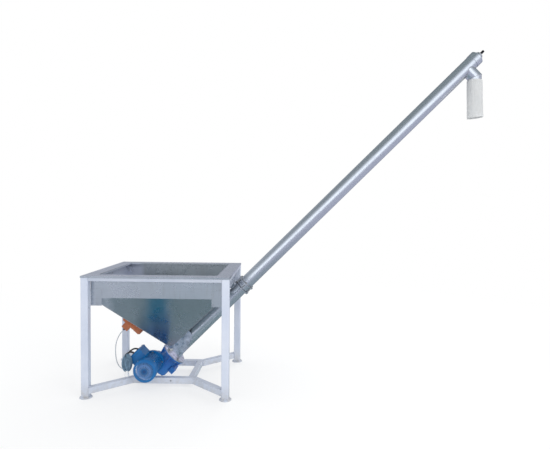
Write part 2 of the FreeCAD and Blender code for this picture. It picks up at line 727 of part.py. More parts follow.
def build_head():
    cap = turned("head_cap", [("tube_radius + 0.5", "cap_station"), ("cap_radius", "cap_station"),
                              ("cap_radius", "tube_end + 1 + cap_plate"), ("20", "tube_end + 1 + cap_plate"),
                              ("20", "tube_end + 1"), ("tube_radius + 0.5", "tube_end + 1")])
    head_holes(cap, "tube_end")
    finish(cap, "head_cap", on_axis("0"))
    seat = "tube_end + 1 + cap_plate"
    housing = turned("head_bearing_housing", [
        ("worm_bearing", seat), ("50", seat), ("50", f"{seat} + 8"), ("47", f"{seat} + 10"),
        ("33", f"{seat} + 10"),
        ("31", f"{seat} + 34"), ("15", f"{seat} + 34"), ("15", f"{seat} + 18"),
        ("worm_bearing", f"{seat} + 18")])
    head_holes(housing, seat)
    finish(housing, "head_bearing_housing", on_axis("0"))
    bolt = bolt_master("head_bolt_master", "slim", "22")
    nut = nut_master("head_nut_master", "slim")
    places = round_circle("head_circle", 4, 45)
    bolts = [on_axis(f"{seat} + 10").multiply(Placement(place, HEAD_DOWN)) for place in places]
    nuts = [on_axis("tube_end + 1 - slim_nut").multiply(Placement(place, Rotation())) for place in places]
    fasteners("head_bolts", [(bolt, bolts), (nut, nuts)])


def head_holes(body, start):
    """The four bolt holes that the cap and the bearing housing share."""
    holes = new_sketch(body, "XY_Plane", start)
    for place in round_circle("head_circle", 4, 45):
        circle(holes, "slim_hole", place.x, place.y)
    pocket(body, holes, "20")


def build_spout():
    """Branch square to the tube, mitred into a short vertical outlet."""
    start = on_axis("spout_station")
    away = start.Rotation.multVec(Vector(1, 0, 0))
    mitre = start.Base + away * value("spout_reach")
    tail = mitre - Vector(0, 0, value("spout_tail"))
    root = start.Base + away * 20
    path = doc.addObject("Part::Polygon", "spout_path")
    path.Nodes = [root, mitre, tail]
    pipes = []
    for name, radius in (("spout_outside", "spout_radius"), ("spout_inside", "spout_radius - tube_wall")):
        section = doc.addObject("Part::Circle", name + "_section")
        section.setExpression("Radius", formula(radius))
        section.Placement = Placement(root, Rotation(Vector(0, 0, 1), away))
        pipe = doc.addObject("Part::Sweep", name)
        pipe.Sections = [section]
        pipe.Spine = path
        pipe.Solid = True
        pipe.Transition = "Right corner"
        pipes.append(pipe)
    tube = cylinder("spout_tube_cut", "tube_radius", "400", on_axis("spout_station - 200"))
    finish(cut_by("discharge_spout", pipes[0], [pipes[1], tube]), "discharge_spout")

    centre = moved(mitre.x, mitre.y, 0)
    inner = "sleeve_radius - sleeve_wall"
    sleeve = turned("discharge_sleeve", [
        (inner, "sleeve_bottom"), ("sleeve_radius", "sleeve_bottom"), ("sleeve_radius", "sleeve_top"),
        ("spout_radius + 0.5", "sleeve_top"), ("spout_radius + 0.5", "sleeve_top - hem"),
        (inner, "sleeve_top - hem")])
    finish(sleeve, "discharge_sleeve", centre)


# ---------------------------------------------------------------- screw


def build_screw():
    shaft = turned("screw_shaft", [
        ("0", "case_start + 7"), ("stub_radius", "case_start + 7"), ("stub_radius", "gear_face - 12"),
        ("shaft_radius", "gear_face - 12"), ("shaft_radius", "tube_end - 12"),
        ("head_radius", "tube_end - 2"),
        ("head_radius", "tip_start"), ("tip_radius", "tip_start"), ("tip_radius", "shaft_end - 2"),
        ("tip_radius - 2", "shaft_end"), ("0", "shaft_end")])
    finish(shaft, "screw_shaft", on_axis("0"))
    helix = doc.addObject("Part::Helix", "flight_path")
    helix.setExpression("Pitch", formula("pitch"))
    helix.setExpression("Height", formula("pitch * flight_turns"))
    helix.setExpression("Radius", formula("shaft_radius"))
    section = doc.addObject("Sketcher::SketchObject", "flight_section")
    section.Placement = Placement(Vector(0, 0, 0), Rotation(Vector(1, 0, 0), 90))
    half = "flight_thick / 2"
    outline(section, [("shaft_radius + running", f"-({half})"), ("screw_radius", f"-({half})"),
                      ("screw_radius", half), ("shaft_radius + running", half)])
    flight = doc.addObject("Part::Sweep", "screw_flight")
    flight.Sections = [section]
    flight.Spine = helix
    flight.Solid = True
    flight.Frenet = True
    finish(flight, "screw_flight", on_axis("flight_start"))


# ---------------------------------------------------------------- worm gear unit


def across(name, radius, start, end):
    """A cylinder along the worm axis, between two stations of the motor shaft; screw-axis frame."""
    origin = Vector(-value("centres"), -value(start), value("wheel_station"))
    place = Placement(origin, Rotation(Vector(1, 0, 0), 90))
    return cylinder(name, radius, f"({end}) - ({start})", place)


def build_gear_case():
    inner = "wheel_radius + 6"
    seat = "wheel_station + wheel_face / 2 + 1"
    case = turned("case_outside", [
        ("0", "case_start"), ("case_radius", "case_start"), ("case_radius", "-45"), ("70", "gear_face - 32"),
        ("70", "gear_face - 12"), ("flange_radius", "gear_face - 12"), ("flange_radius", "gear_face"),
        ("0", "gear_face")])
    rib = new_body("case_rib")
    side = new_sketch(rib, "XZ_Plane")
    outline(side, [("30", "-60"), ("case_radius - 2", "-60"), ("flange_radius - 6", "gear_face - 30"),
                   ("flange_radius - 6", "gear_face - 11"), ("30", "gear_face - 11")])
    web = pad(rib, side, "12", midplane=True)
    polar(rib, web, "4")
    foot = block("case_foot", ("case_radius - 14", "-60", "-75"), ("case_radius + 34", "60", "-25"))
    pieces = [case, rib, foot, across("worm_barrel", "barrel_radius", "-(barrel_half)", "barrel_half"),
              across("motor_pad", "pad_radius", "barrel_half", "shield_start")]
    cavity = turned("wheel_cavity", [
        ("0", "case_start - 1"), (inner, "case_start - 1"), (inner, seat), ("bearing_radius", seat),
        ("bearing_radius", f"{seat} + 16"), ("25", f"{seat} + 16"), ("25", "gear_face + 1"),
        ("0", "gear_face + 1")])
    tools = [cavity, across("worm_room", "worm_radius + 6", "-55", "55"),
             across("worm_seats", "worm_bearing", "-72", "72"), across("motor_opening", "18", "71", "92")]
    flange_back = Vector(0, 0, value("gear_face - 20"))
    for number, place in enumerate(flange_bolt_places()):
        hole = Placement(place + flange_back, Rotation())
        tools.append(cylinder(f"flange_hole_{number}", "thick_hole", "22", hole))
    open_end = Vector(0, 0, value("case_start"))
    tools += [cylinder(f"cover_hole_{number}", "slim_bolt", "14", Placement(place + open_end, Rotation()))
              for number, place in enumerate(round_circle("cover_circle", 6, 30))]
    tools += [pad_hole(number, place) for number, place in enumerate(round_circle("motor_circle", 4, 45))]
    finish(cut_by("gearbox_housing", fused("gearbox_housing", pieces), [fused("case_tools", tools)]),
           "gearbox_housing", on_axis("0"))

    cover = turned("gearbox_cover", [
        ("0", "case_start - cover_thick"), ("30", "case_start - cover_thick"), ("34", "case_start - 8"),
        ("cover_radius - 3", "case_start - 8"), ("cover_radius", "case_start - 5"),
        ("cover_radius", "case_start"),
        ("bearing_radius + 8", "case_start"), ("bearing_radius + 8", "wheel_station - wheel_face / 2 - 1"),
        ("bearing_radius", "wheel_station - wheel_face / 2 - 1"), ("bearing_radius", "case_start + 1"),
        ("0", "case_start + 1")])
    holes = new_sketch(cover, "XY_Plane", "case_start - 20")
    for place in round_circle("cover_circle", 6, 30):
        circle(holes, "slim_hole", place.x, place.y)
    pocket(cover, holes, "21")
    finish(cover, "gearbox_cover", on_axis("0"))
    screw = bolt_master("cover_bolt_master", "slim", "20")
    group("gearbox_cover_bolts", screw, [on_axis("case_start - 8").multiply(Placement(place, Rotation()))
                                         for place in round_circle("cover_circle", 6, 30)])


def pad_hole(number, place):
    """A bolt hole through the gear case's motor flange."""
    spot = Placement(Vector(-value("centres"), 0, value("wheel_station")), Rotation(Vector(1, 0, 0), 90))
    above = Placement(place + Vector(0, 0, 70), Rotation())
    return cylinder(f"pad_hole_{number}", "thick_bolt", "30", spot.multiply(above))


def build_gears():
    half = "wheel_face / 2"
    wheel = turned("worm_wheel", [
        ("stub_radius", f"wheel_station - {half}"), ("26", f"wheel_station - {half}"),
        ("26", "wheel_station - 12"), ("wheel_radius - 3", "wheel_station - 12"),
        ("wheel_radius", "wheel_station - 9"),
        ("wheel_radius", "wheel_station + 9"), ("wheel_radius - 3", "wheel_station + 12"),
        ("26", "wheel_station + 12"), ("26", f"wheel_station + {half}"),
        ("stub_radius", f"wheel_station + {half}")])
    gap = new_sketch(wheel, "XY_Plane", "wheel_station - 14")
    outline(gap, [("wheel_radius - 7", "-1.5"), ("wheel_radius + 2", "-4"), ("wheel_radius + 2", "4"),
                  ("wheel_radius - 7", "1.5")])
    tooth = pocket(wheel, gap, "28")
    polar(wheel, tooth, "teeth")
    finish(wheel, "worm_wheel", on_axis("0"))

    worm = turned("worm_blank", [
        ("0", "-70"), ("head_radius", "-70"), ("head_radius", "-50"), ("worm_radius - 5", "-48"),
        ("worm_radius - 5", "48"), ("head_radius", "50"), ("head_radius", "stator_start + 15"),
        ("15", "stator_start + 15"), ("15", "stator_end - 29"), ("head_radius", "stator_end - 29"),
        ("head_radius", "cowl_end - 20"), ("0", "cowl_end - 20")])
    threads = [ring(f"worm_thread_{number}", "worm_radius - 6", "worm_radius", f"{start}", f"{start + 6}")
               for number, start in enumerate(range(-45, 40, 13))]
    finish(fused("worm_shaft", [worm] + threads), "worm_shaft", MOTOR_FRAME)


# ---------------------------------------------------------------- motor


def build_motor():
    core_start = "stator_start + 18"
    core_end = "stator_end - 35"
    shield = turned("motor_flange", [
        ("16", "shield_start"), ("pad_radius", "shield_start"), ("pad_radius", "shield_start + pad_thick"),
        ("frame_radius", "shield_start + pad_thick"), ("frame_radius", "stator_start"),
        ("worm_bearing", "stator_start"), ("worm_bearing", "shield_start + 2"), ("16", "shield_start + 2")])
    holes = new_sketch(shield, "XY_Plane", "shield_start - 1")
    for place in round_circle("motor_circle", 4, 45):
        circle(holes, "thick_hole", place.x, place.y)
    pocket(shield, holes, "pad_thick + 2")
    finish(shield, "motor_flange", MOTOR_FRAME)
    bolt = bolt_master("motor_bolt_master", "thick", "20")
    outer_face = Vector(0, 0, value("shield_start + pad_thick"))
    group("motor_flange_bolts", bolt, [MOTOR_FRAME.multiply(Placement(place + outer_face, HEAD_DOWN))
                                       for place in round_circle("motor_circle", 4, 45)])

    frame = ring("motor_frame", "bore_radius", "frame_radius", "stator_start", "stator_end")
    fin = new_sketch(frame, "XY_Plane", "stator_start + 8")
    outline(fin, [("frame_radius - 2", "-1.6"), ("motor_radius", "-1.6"), ("motor_radius", "1.6"),
                  ("frame_radius - 2", "1.6")])
    fin_pad = pad(frame, fin, "stator_end - stator_start - 16")
    polar(frame, fin_pad, "fins")
    seat = new_sketch(frame, "XY_Plane", "box_start + 5")
    outline(seat, [("-(box_base)", "-(box_half) + 10"), ("-(frame_radius) + 8", "-(box_half) + 30"),
                   ("-(frame_radius) + 8", "box_half - 30"), ("-(box_base)", "box_half - 10")])
    pad(frame, seat, "box_end - box_start - 10")
    finish(frame, "motor_frame", MOTOR_FRAME)

    finish(ring("motor_stator", "41", "bore_radius", core_start, core_end), "motor_stator", MOTOR_FRAME)
    finish(ring("motor_rotor_core", "15", "40", core_start, core_end), "motor_rotor_core", MOTOR_FRAME)
    rear = turned("motor_rear_shield", [
        ("worm_bearing", "stator_end"), ("80", "stator_end"), ("80", "stator_end + 14"),
        ("50", "stator_end + 18"),
        ("15", "stator_end + 18"), ("15", "stator_end + 15"), ("worm_bearing", "stator_end + 15")])
    lug = new_sketch(rear, "XY_Plane", "stator_end + 4")
    outline(lug, [("70", "-8"), ("cowl_radius - 3", "-8"), ("cowl_radius - 3", "8"), ("70", "8")])
    lug_pad = pad(rear, lug, "10")
    polar(rear, lug_pad, "4")
    finish(rear, "motor_rear_shield", MOTOR_FRAME)

    fan = turned("cooling_fan", [
        ("head_radius", "stator_end + 23"), ("70", "stator_end + 23"), ("70", "stator_end + 26"),
        ("26", "stator_end + 26"), ("24", "stator_end + 46"), ("head_radius", "stator_end + 46")])
    blade = new_sketch(fan, "XY_Plane", "stator_end + 25")
    outline(blade, [("20", "-1.5"), ("70", "-1.5"), ("70", "1.5"), ("20", "1.5")])
    blade_pad = pad(fan, blade, "20")
    polar(fan, blade_pad, "7")
    finish(fan, "cooling_fan", MOTOR_FRAME)

    cowl = turned("fan_cover", [
        ("cowl_radius - 2", "cowl_start"), ("cowl_radius", "cowl_start"), ("cowl_radius", "cowl_end - 13"),
        ("cowl_radius - 11", "cowl_end"), ("0", "cowl_end"), ("0", "cowl_end - 2"),
        ("cowl_radius - 12", "cowl_end - 2"), ("cowl_radius - 2", "cowl_end - 14")])
    for count, inner, outer, half in ((18, 21, 48, 2), (36, 56, 80, 2)):
        slot = new_sketch(cowl, "XY_Plane", "cowl_end - 5")
        outline(slot, [(inner, -half), (outer, -half), (outer, half), (inner, half)])
        cut = pocket(cowl, slot, "10")
        polar(cowl, cut, count)
    finish(cowl, "fan_cover", MOTOR_FRAME)
    build_terminal_box()


def build_terminal_box():
    """Box on the side of the motor that faces away from the gear wheel, its lid and two cable glands."""
    middle = value("(box_start + box_end) / 2")
    outward = MOTOR_FRAME.multiply(Placement(Vector(0, 0, middle), Rotation(Vector(0, 1, 0), -90)))
    half_long = "(box_end - box_start) / 2"
    box = new_body("terminal_box")
    wall = new_sketch(box, "XY_Plane", "box_base")
    rectangle(wall, half_long, "box_half")
    pad(box, wall, "box_top - box_base")
    room = new_sketch(box, "XY_Plane", "box_base + 4")
    rectangle(room, f"({half_long} - 4)", "(box_half - 4)")
    pocket(box, room, "box_top - box_base")
    finish(box, "terminal_box", outward)

    lid = new_body("terminal_box_lid")
    top = new_sketch(lid, "XY_Plane", "box_top")
    rectangle(top, f"({half_long} + 2)", "(box_half + 2)")
    slab = pad(lid, top, "lid_top - box_top")
    doc.recompute()
    bevel = lid.newObject("PartDesign::Chamfer", "lid_bevel")
    height = value("lid_top")
    rim = [f"Edge{number}" for number, edge in enumerate(slab.Shape.Edges, start=1)
           if abs(edge.CenterOfMass.z - height) < 0.01]
    bevel.Base = (slab, rim)
    bevel.Size = 8
    lid.Tip = bevel
    finish(lid, "terminal_box_lid", outward)

    gland = turned("gland_master", [
        ("gland_bore", "0"), ("13", "0"), ("13", "7"), ("10", "8"), ("10", "gland_long - 3"),
        ("8", "gland_long"),
        ("gland_bore", "gland_long")])
    group("cable_glands", gland, [box_gland(-1), box_gland(1), vibrator_gland()])


def box_gland(side):
    """Frame of a gland on the terminal box's lower face: Z out of the face, side 1 nearer the fan."""
    middle = value("(box_start + box_end) / 2")
    place = Vector(-value("gland_place"), -value("box_half"), middle + side * value("gland_side"))
    return MOTOR_FRAME.multiply(Placement(place, Rotation(Vector(1, 0, 0), 90)))


def vibrator_gland():
    """Frame of the gland on the vibrator's connection box: Z out of the face."""
    return VIBRATOR_FRAME.multiply(moved(-31, 0, GLAND_FACE))


# ---------------------------------------------------------------- vibrator


def wall_frame():
    """X down the hopper's left wall, Z square out of the wall, origin on the wall's outer face."""
    top = Vector(-value("frame_length / 2 - leg_size - skirt_gap"), 0, value("skirt_bottom"))
    bottom = Vector(value("throat_left"), 0, value("throat_height"))
    down = (bottom - top).normalize()
    out = Vector(down.z, 0, -down.x)
    turn = Rotation(down, out.cross(down), out, "ZXY")
    return Placement(top + down * value("vibrator_place") + out * 0.3, turn)


VIBRATOR_FRAME = wall_frame()
GLAND_FACE = value("vibrator_axis + vibrator_radius + vibrator_box")
FOOT_BOLTS = [(x, y) for x in (-52, 52) for y in (-47, 47)]


def build_vibrator():
    channel = new_body("vibrator_mount")
    section = new_sketch(channel, "YZ_Plane")
    wide = "channel_wide / 2"
    outline(section, [(f"-({wide})", "0"), (f"-({wide}) + 6", "0"), (f"-({wide}) + 6", "channel_high - 6"),
                      (f"{wide} - 6", "channel_high - 6"), (f"{wide} - 6", "0"), (wide, "0"),
                      (wide, "channel_high"), (f"-({wide})", "channel_high")])
    pad(channel, section, "channel_long", midplane=True)
    holes = new_sketch(channel, "XY_Plane", "channel_high - 10")
    for x, y in FOOT_BOLTS:
        circle(holes, "thick_hole", x, y)
    pocket(channel, holes, "20")
    finish(channel, "vibrator_mount", VIBRATOR_FRAME)

    lying = Placement(Vector(0, 0, value("vibrator_axis")), Rotation(Vector(0, 1, 0), 90))
    ribs = [("0", "-(vibrator_half)")]
    for start in (-62, -36, -10, 16, 42):
        ribs += [("vibrator_radius", start), ("vibrator_radius + 4", start + 2),
                 ("vibrator_radius + 4", start + 6),
                 ("vibrator_radius", start + 8)]
    ribs = [ribs[0], ("vibrator_radius", "-(vibrator_half)")] + ribs[1:]
    ribs += [("vibrator_radius", "vibrator_half"), ("0", "vibrator_half")]
    barrel = turned("vibrator_barrel", ribs)
    barrel.Placement = lying
    feet = block("vibrator_feet", ("-(vibrator_half)", "-(channel_wide) / 2 + 2", "channel_high"),
                 ("vibrator_half", "channel_wide / 2 - 2", "channel_high + 12"))
    web = block("vibrator_web", ("-(vibrator_half) + 8", "-30", "channel_high + 5"),
                ("vibrator_half - 8", "30", "vibrator_axis - 20"))
    box = block("vibrator_box", ("-64", "-32", "vibrator_axis + 20"), ("2", "32", GLAND_FACE))
    bore = cylinder("vibrator_bore", "vibrator_radius - 8", "2 * vibrator_half + 2",
                    lying.multiply(moved(0, 0, -value("vibrator_half") - 1)))
    tools = [bore] + [cylinder(f"foot_hole_{number}", "thick_hole", "40", moved(x, y, 10))
                      for number, (x, y) in enumerate(FOOT_BOLTS)]
    casting = fused("vibrator_housing", [barrel, feet, web, box])
    finish(cut_by("vibrator_housing", casting, [fused("foot_tools", tools)]),
           "vibrator_housing", VIBRATOR_FRAME)

    inner = "vibrator_radius - 4"
    cover = turned("vibrator_cover_master", [
        (inner, "0"), ("vibrator_radius", "0"), ("vibrator_radius", "20"), ("vibrator_radius - 12", "33"),
        ("0", "33"), ("0", "30"), ("vibrator_radius - 13", "30"), (inner, "19")])
    half = value("vibrator_half")
    turn_back = Placement(Vector(0, 0, 0), Rotation(Vector(0, 1, 0), 180))
    ends = [VIBRATOR_FRAME.multiply(lying).multiply(moved(0, 0, half)),
            VIBRATOR_FRAME.multiply(lying).multiply(turn_back).multiply(moved(0, 0, half))]
    group("vibrator_covers", cover, ends)

    bearing_plate = ring("vibrator_bearing_master", "10 + running", "vibrator_radius - 8", "0", "12")
    group("vibrator_bearing_plates", bearing_plate, [
        VIBRATOR_FRAME.multiply(lying).multiply(moved(0, 0, start)) for start in (-68, 56)])
    shaft = turned("vibrator_shaft", [("0", "-96"), ("10", "-96"), ("10", "-48"), ("38", "-44"), ("38", "44"),
                                      ("10", "48"), ("10", "96"), ("0", "96")])
    finish(shaft, "vibrator_shaft", VIBRATOR_FRAME.multiply(lying))
    weight = new_body("vibrator_weight_master")
    plan = new_sketch(weight, "XY_Plane")
    arc_points = [(f"weight_radius * {math.cos(math.radians(step)):.5f}",
                   f"weight_radius * {math.sin(math.radians(step)):.5f}") for step in range(-90, 91, 15)]
    outline(plan, arc_points + [("-14", "14"), ("-14", "-14")])
    circle(plan, "10")
    pad(weight, plan, "14")
    group("vibrator_weights", weight, [
        VIBRATOR_FRAME.multiply(lying).multiply(moved(0, 0, start)) for start in (-94, 80)])
    bolt = bolt_master("vibrator_bolt_master", "thick", "26")
    nut = nut_master("vibrator_nut_master", "thick")
    top = value("channel_high + 12")
    under = value("channel_high - 6 - thick_nut")
    fasteners("vibrator_bolts", [
        (bolt, [VIBRATOR_FRAME.multiply(Placement(Vector(x, y, top), HEAD_DOWN)) for x, y in FOOT_BOLTS]),
        (nut, [VIBRATOR_FRAME.multiply(moved(x, y, under)) for x, y in FOOT_BOLTS])])


# ---------------------------------------------------------------- bearings and cables


def build_bearings():
    """Rolling bearings as closed rings: two at the wheel, four along the motor shaft, one at the head."""
    wide = ring("wheel_bearing_master", "stub_radius + running", "bearing_radius", "0", "15")
    narrow = ring("shaft_bearing_master", "head_radius + running", "worm_bearing", "0", "14")
    wheel_places = [on_axis("wheel_station - wheel_face / 2 - 16"),
                    on_axis("wheel_station + wheel_face / 2 + 1.5")]
    shaft_places = [MOTOR_FRAME.multiply(moved(0, 0, value(start)))
                    for start in ("-71", "57", "shield_start + 2.5", "stator_end + 0.5")]
    shaft_places.append(on_axis("tube_end + 1 + cap_plate + 2"))
    fasteners("shaft_bearings", [(wide, wheel_places), (narrow, shaft_places)])


def pipe_along(label, radius, points):
    """A round cable: straight between the first two and the last two points, one smooth curve between."""
    first_lead = (points[1] - points[0]).normalize()
    last_lead = (points[-1] - points[-2]).normalize()
    curve = Part.BSplineCurve()
    curve.interpolate(Points=points[1:-1], InitialTangent=first_lead, FinalTangent=last_lead, Scale=False)
    wire = Part.Wire([Part.LineSegment(points[0], points[1]).toShape(), curve.toShape(),
                      Part.LineSegment(points[-2], points[-1]).toShape()])
    section = Part.Wire([Part.Circle(points[0], first_lead, value(radius)).toShape()])
    piece = doc.addObject("Part::Feature", label)
    piece.Shape = wire.makePipeShell([section], True, True)
    return finish(piece, label)


def build_cables():
    inside_gland = Vector(0, 0, 3)
    lead = Vector(0, 0, value("gland_long + 12"))
    bend = Vector(0, 0, value("gland_long + 40"))

    far_gland = box_gland(-1)
    sensor_end = vibrator_gland()
    pipe_along("vibrator_cable", "thin_cable", [
        sensor_end.multVec(inside_gland), sensor_end.multVec(lead),
        Vector(-484, -20, 330), Vector(-478, -60, 230), Vector(-435, -115, 150), Vector(-370, -155, 128),
        far_gland.multVec(bend), far_gland.multVec(lead), far_gland.multVec(inside_gland)])

    near_gland = box_gland(1)
    middle = Vector(-300, -264, 223)
    wide, tall = value("coil_wide"), value("coil_tall")
    first_angle, step_angle, steps = 250, 30, 41
    coil = []
    for step in range(steps):
        angle = math.radians(first_angle + step_angle * step)
        shrink = 1 - 0.0035 * step
        across, up = shrink * wide * math.cos(angle), shrink * tall * math.sin(angle)
        forward = value("coil_pitch") * step * step_angle / 360
        coil.append(middle + Vector(across, -forward, up))
    over = [Vector(-272, -312, 256), Vector(-285, -320, 264), Vector(-295, -325, 250)]
    plug_foot = Vector(-284, -326, 126)
    entry = plug_foot + Vector(0, 0, value("plug_long") + 0.2)
    pipe_along("power_cable", "cable_radius", [near_gland.multVec(inside_gland), near_gland.multVec(lead)]
               + coil + over + [entry + Vector(0, 0, 15), entry])
    plug = turned("mains_plug", [
        ("0", "0"), ("plug_radius - 2", "0"), ("plug_radius", "4"), ("plug_radius", "plug_long / 2 - 1"),
        ("plug_radius - 5", "plug_long - 16"), ("9", "plug_long"), ("0", "plug_long")])
    finish(plug, "mains_plug", Placement(plug_foot, Rotation()))


build_frame()
build_hopper()
build_inlet()
build_tube()
build_head()
build_spout()
build_screw()
build_gear_case()
build_gears()
build_motor()
build_vibrator()
build_bearings()
build_cables()
doc.recompute()

for item in doc.Objects:
    if "Invalid" in item.State or "Error" in item.State:
        raise RuntimeError(f"{item.Label} did not compute: {item.State}")
for item in SUBPARTS:
    if item.Shape.isNull() or not item.Shape.isValid() or not item.Shape.Solids:
        raise RuntimeError(f"{item.Label} has no valid solid")
labels = [item.Label for item in SUBPARTS]
if len(set(labels)) != len(labels):
    raise RuntimeError("two sub-parts share a name")

os.makedirs("parts", exist_ok=True)
for item in SUBPARTS:
    item.Shape.exportStep(f"parts/{item.Label}.step")
    box = item.Shape.BoundBox
    print(f"{item.Label:26s} solids {len(item.Shape.Solids):2d}  volume {item.Shape.Volume / 1000:9.1f} cm3  "
          f"x {box.XMin:7.1f} {box.XMax:7.1f}  y {box.YMin:7.1f} {box.YMax:7.1f}  "
          f"z {box.ZMin:7.1f} {box.ZMax:7.1f}")
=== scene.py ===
import json
import math

import bmesh
import bpy
from mathutils import Matrix, Vector, noise
from mathutils.bvhtree import BVHTree


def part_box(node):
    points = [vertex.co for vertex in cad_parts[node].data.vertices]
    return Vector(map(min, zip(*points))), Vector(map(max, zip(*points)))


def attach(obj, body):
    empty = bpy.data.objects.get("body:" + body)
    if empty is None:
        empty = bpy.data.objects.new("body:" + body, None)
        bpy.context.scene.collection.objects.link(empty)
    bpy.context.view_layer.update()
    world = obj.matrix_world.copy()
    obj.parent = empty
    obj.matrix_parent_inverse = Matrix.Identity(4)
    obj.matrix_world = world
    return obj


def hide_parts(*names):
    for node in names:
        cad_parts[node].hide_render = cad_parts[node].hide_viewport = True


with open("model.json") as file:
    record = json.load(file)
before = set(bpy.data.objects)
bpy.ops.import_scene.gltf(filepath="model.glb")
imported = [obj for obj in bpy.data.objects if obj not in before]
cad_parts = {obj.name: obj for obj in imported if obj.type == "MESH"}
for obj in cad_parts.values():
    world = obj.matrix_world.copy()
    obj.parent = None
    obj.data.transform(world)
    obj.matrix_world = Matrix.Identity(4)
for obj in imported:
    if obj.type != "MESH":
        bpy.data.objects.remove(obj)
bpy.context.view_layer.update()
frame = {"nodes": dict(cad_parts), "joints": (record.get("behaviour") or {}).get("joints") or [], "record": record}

# The looks of a hopper auger: finishes, weld beads, screws, plates, cable turns and sleeves,
# and the fabric discharge sleeve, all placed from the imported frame. The frame is in metres,
# +Z up, front towards -Y. Radii, heights and outlines of added shapes are in millimetres.

NODES = frame["nodes"]
JOINTS = {joint["name"]: joint for joint in frame["joints"]}
MM = 0.001
X, Y, Z = Vector((1, 0, 0)), Vector((0, 1, 0)), Vector((0, 0, 1))

# ------------------------------------------------------------------ places in the frame


def placed(origin, x_axis, z_axis):
    """A matrix whose X and Z follow two square directions, at an origin."""
    y_axis = z_axis.cross(x_axis)
    turn = Matrix((x_axis, y_axis, z_axis)).transposed().to_4x4()
    return Matrix.Translation(origin) @ turn


def joint_point(name):
    """Where a joint's axis is anchored."""
    return Vector(JOINTS[name]["pos_m"])


def joint_axis(name):
    """A joint's axis as a unit vector."""
    return Vector(JOINTS[name]["axis"]).normalized()


CLIMB = joint_axis("screw_spin")
DOWN_RIGHT = Y.cross(CLIMB)
AUGER = placed(joint_point("screw_spin"), DOWN_RIGHT, CLIMB)
MOTOR = placed(joint_point("motor_spin"), DOWN_RIGHT, -Y)
MIDDLE = (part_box("leg_front_left")[0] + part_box("leg_rear_right")[1]) / 2
MIDDLE.z = 0
# The floor's radius, in metres; the tube's outside and the length of the spout's branch from
# the tube's axis to its elbow, in millimetres.
FLOOR_REACH = 22
TUBE_RADIUS = 60
SPOUT_REACH = 112


def spot(place, x, y, z):
    """A point given in millimetres in one of the frames above."""
    return place @ Vector((x * MM, y * MM, z * MM))


def near_middle(x, y, z):
    """A point given in millimetres from the machine's middle on the floor."""
    return MIDDLE + Vector((x, y, z)) * MM


def moved(place, x, y, z):
    """One of the frames above, moved by millimetres along its own directions."""
    return place @ Matrix.Translation(Vector((x, y, z)) * MM)


def on_surface(nodes, target):
    """A frame on the nodes' surface where it is nearest to a target point, its Z outwards."""
    hits = []
    for node in nodes:
        mesh = NODES[node].data
        tree = BVHTree.FromPolygons([vertex.co for vertex in mesh.vertices],
                                    [polygon.vertices for polygon in mesh.polygons])
        hits.append(tree.find_nearest(target))
    point, normal = min(hits, key=lambda hit: hit[3])[:2]
    up = (Z - normal * Z.dot(normal)).normalized()
    return placed(point, up.cross(normal), normal)


def axis_range(node, origin, direction):
    """Where a node starts and ends along a direction, in millimetres from an origin."""
    along = [(vertex.co - origin).dot(direction) for vertex in NODES[node].data.vertices]
    return min(along) / MM, max(along) / MM


def auger_range(node):
    """Where a node starts and ends along the auger's axis, in millimetres from the screw's joint."""
    return axis_range(node, AUGER.translation, CLIMB)


def box_in(place, node):
    """A node's lowest and highest corners in one of the frames above, in metres."""
    inverse = place.inverted()
    local = [inverse @ vertex.co for vertex in NODES[node].data.vertices]
    return (Vector([min(point[axis] for point in local) for axis in range(3)]),
            Vector([max(point[axis] for point in local) for axis in range(3)]))


# ------------------------------------------------------------------ mesh building


def lathe(place, profile, steps=48):
    """A closed solid turned round Z from (radius, height) points in millimetres."""
    points, faces, rows = [], [], []
    for radius, height in profile:
        if radius < 0.001:
            rows.append([len(points)] * steps)
            points.append(spot(place, 0, 0, height))
            continue
        rows.append(range(len(points), len(points) + steps))
        for step in range(steps):
            angle = math.tau * step / steps
            points.append(spot(place, radius * math.cos(angle), radius * math.sin(angle), height))
    for lower, upper in zip(rows, list(rows[1:]) + [rows[0]]):
        for step in range(steps):
            following = (step + 1) % steps
            corners = [lower[step], lower[following], upper[following], upper[step]]
            corners = list(dict.fromkeys(corners))
            if len(corners) > 2:
                faces.append(corners)
    return points, faces


def sweep(path, radius, sides=10, closed=False, swell=None):
    """A round bar along a path of points; swell(step) scales its radius."""
    points, faces = [], []
    count = len(path)
    side = None
    for step, point in enumerate(path):
        before = path[step - 1] if step or closed else point
        after = path[(step + 1) % count] if step < count - 1 or closed else point
        ahead = (after - before).normalized()
        if side is None:
            side = ahead.orthogonal().normalized()
        side = (side - ahead * side.dot(ahead)).normalized()
        up = ahead.cross(side)
        size = radius * MM * (swell(step) if swell else 1)
        for corner in range(sides):
            angle = math.tau * corner / sides
            points.append(point + (side * math.cos(angle) + up * math.sin(angle)) * size)
    for step in range(count if closed else count - 1):
        here, there = step * sides, (step + 1) % count * sides
        for corner in range(sides):
            following = (corner + 1) % sides
            faces.append([here + corner, here + following, there + following, there + corner])
    if not closed:
        faces.append(list(reversed(range(sides))))
        faces.append(list(range((count - 1) * sides, count * sides)))
    return points, faces


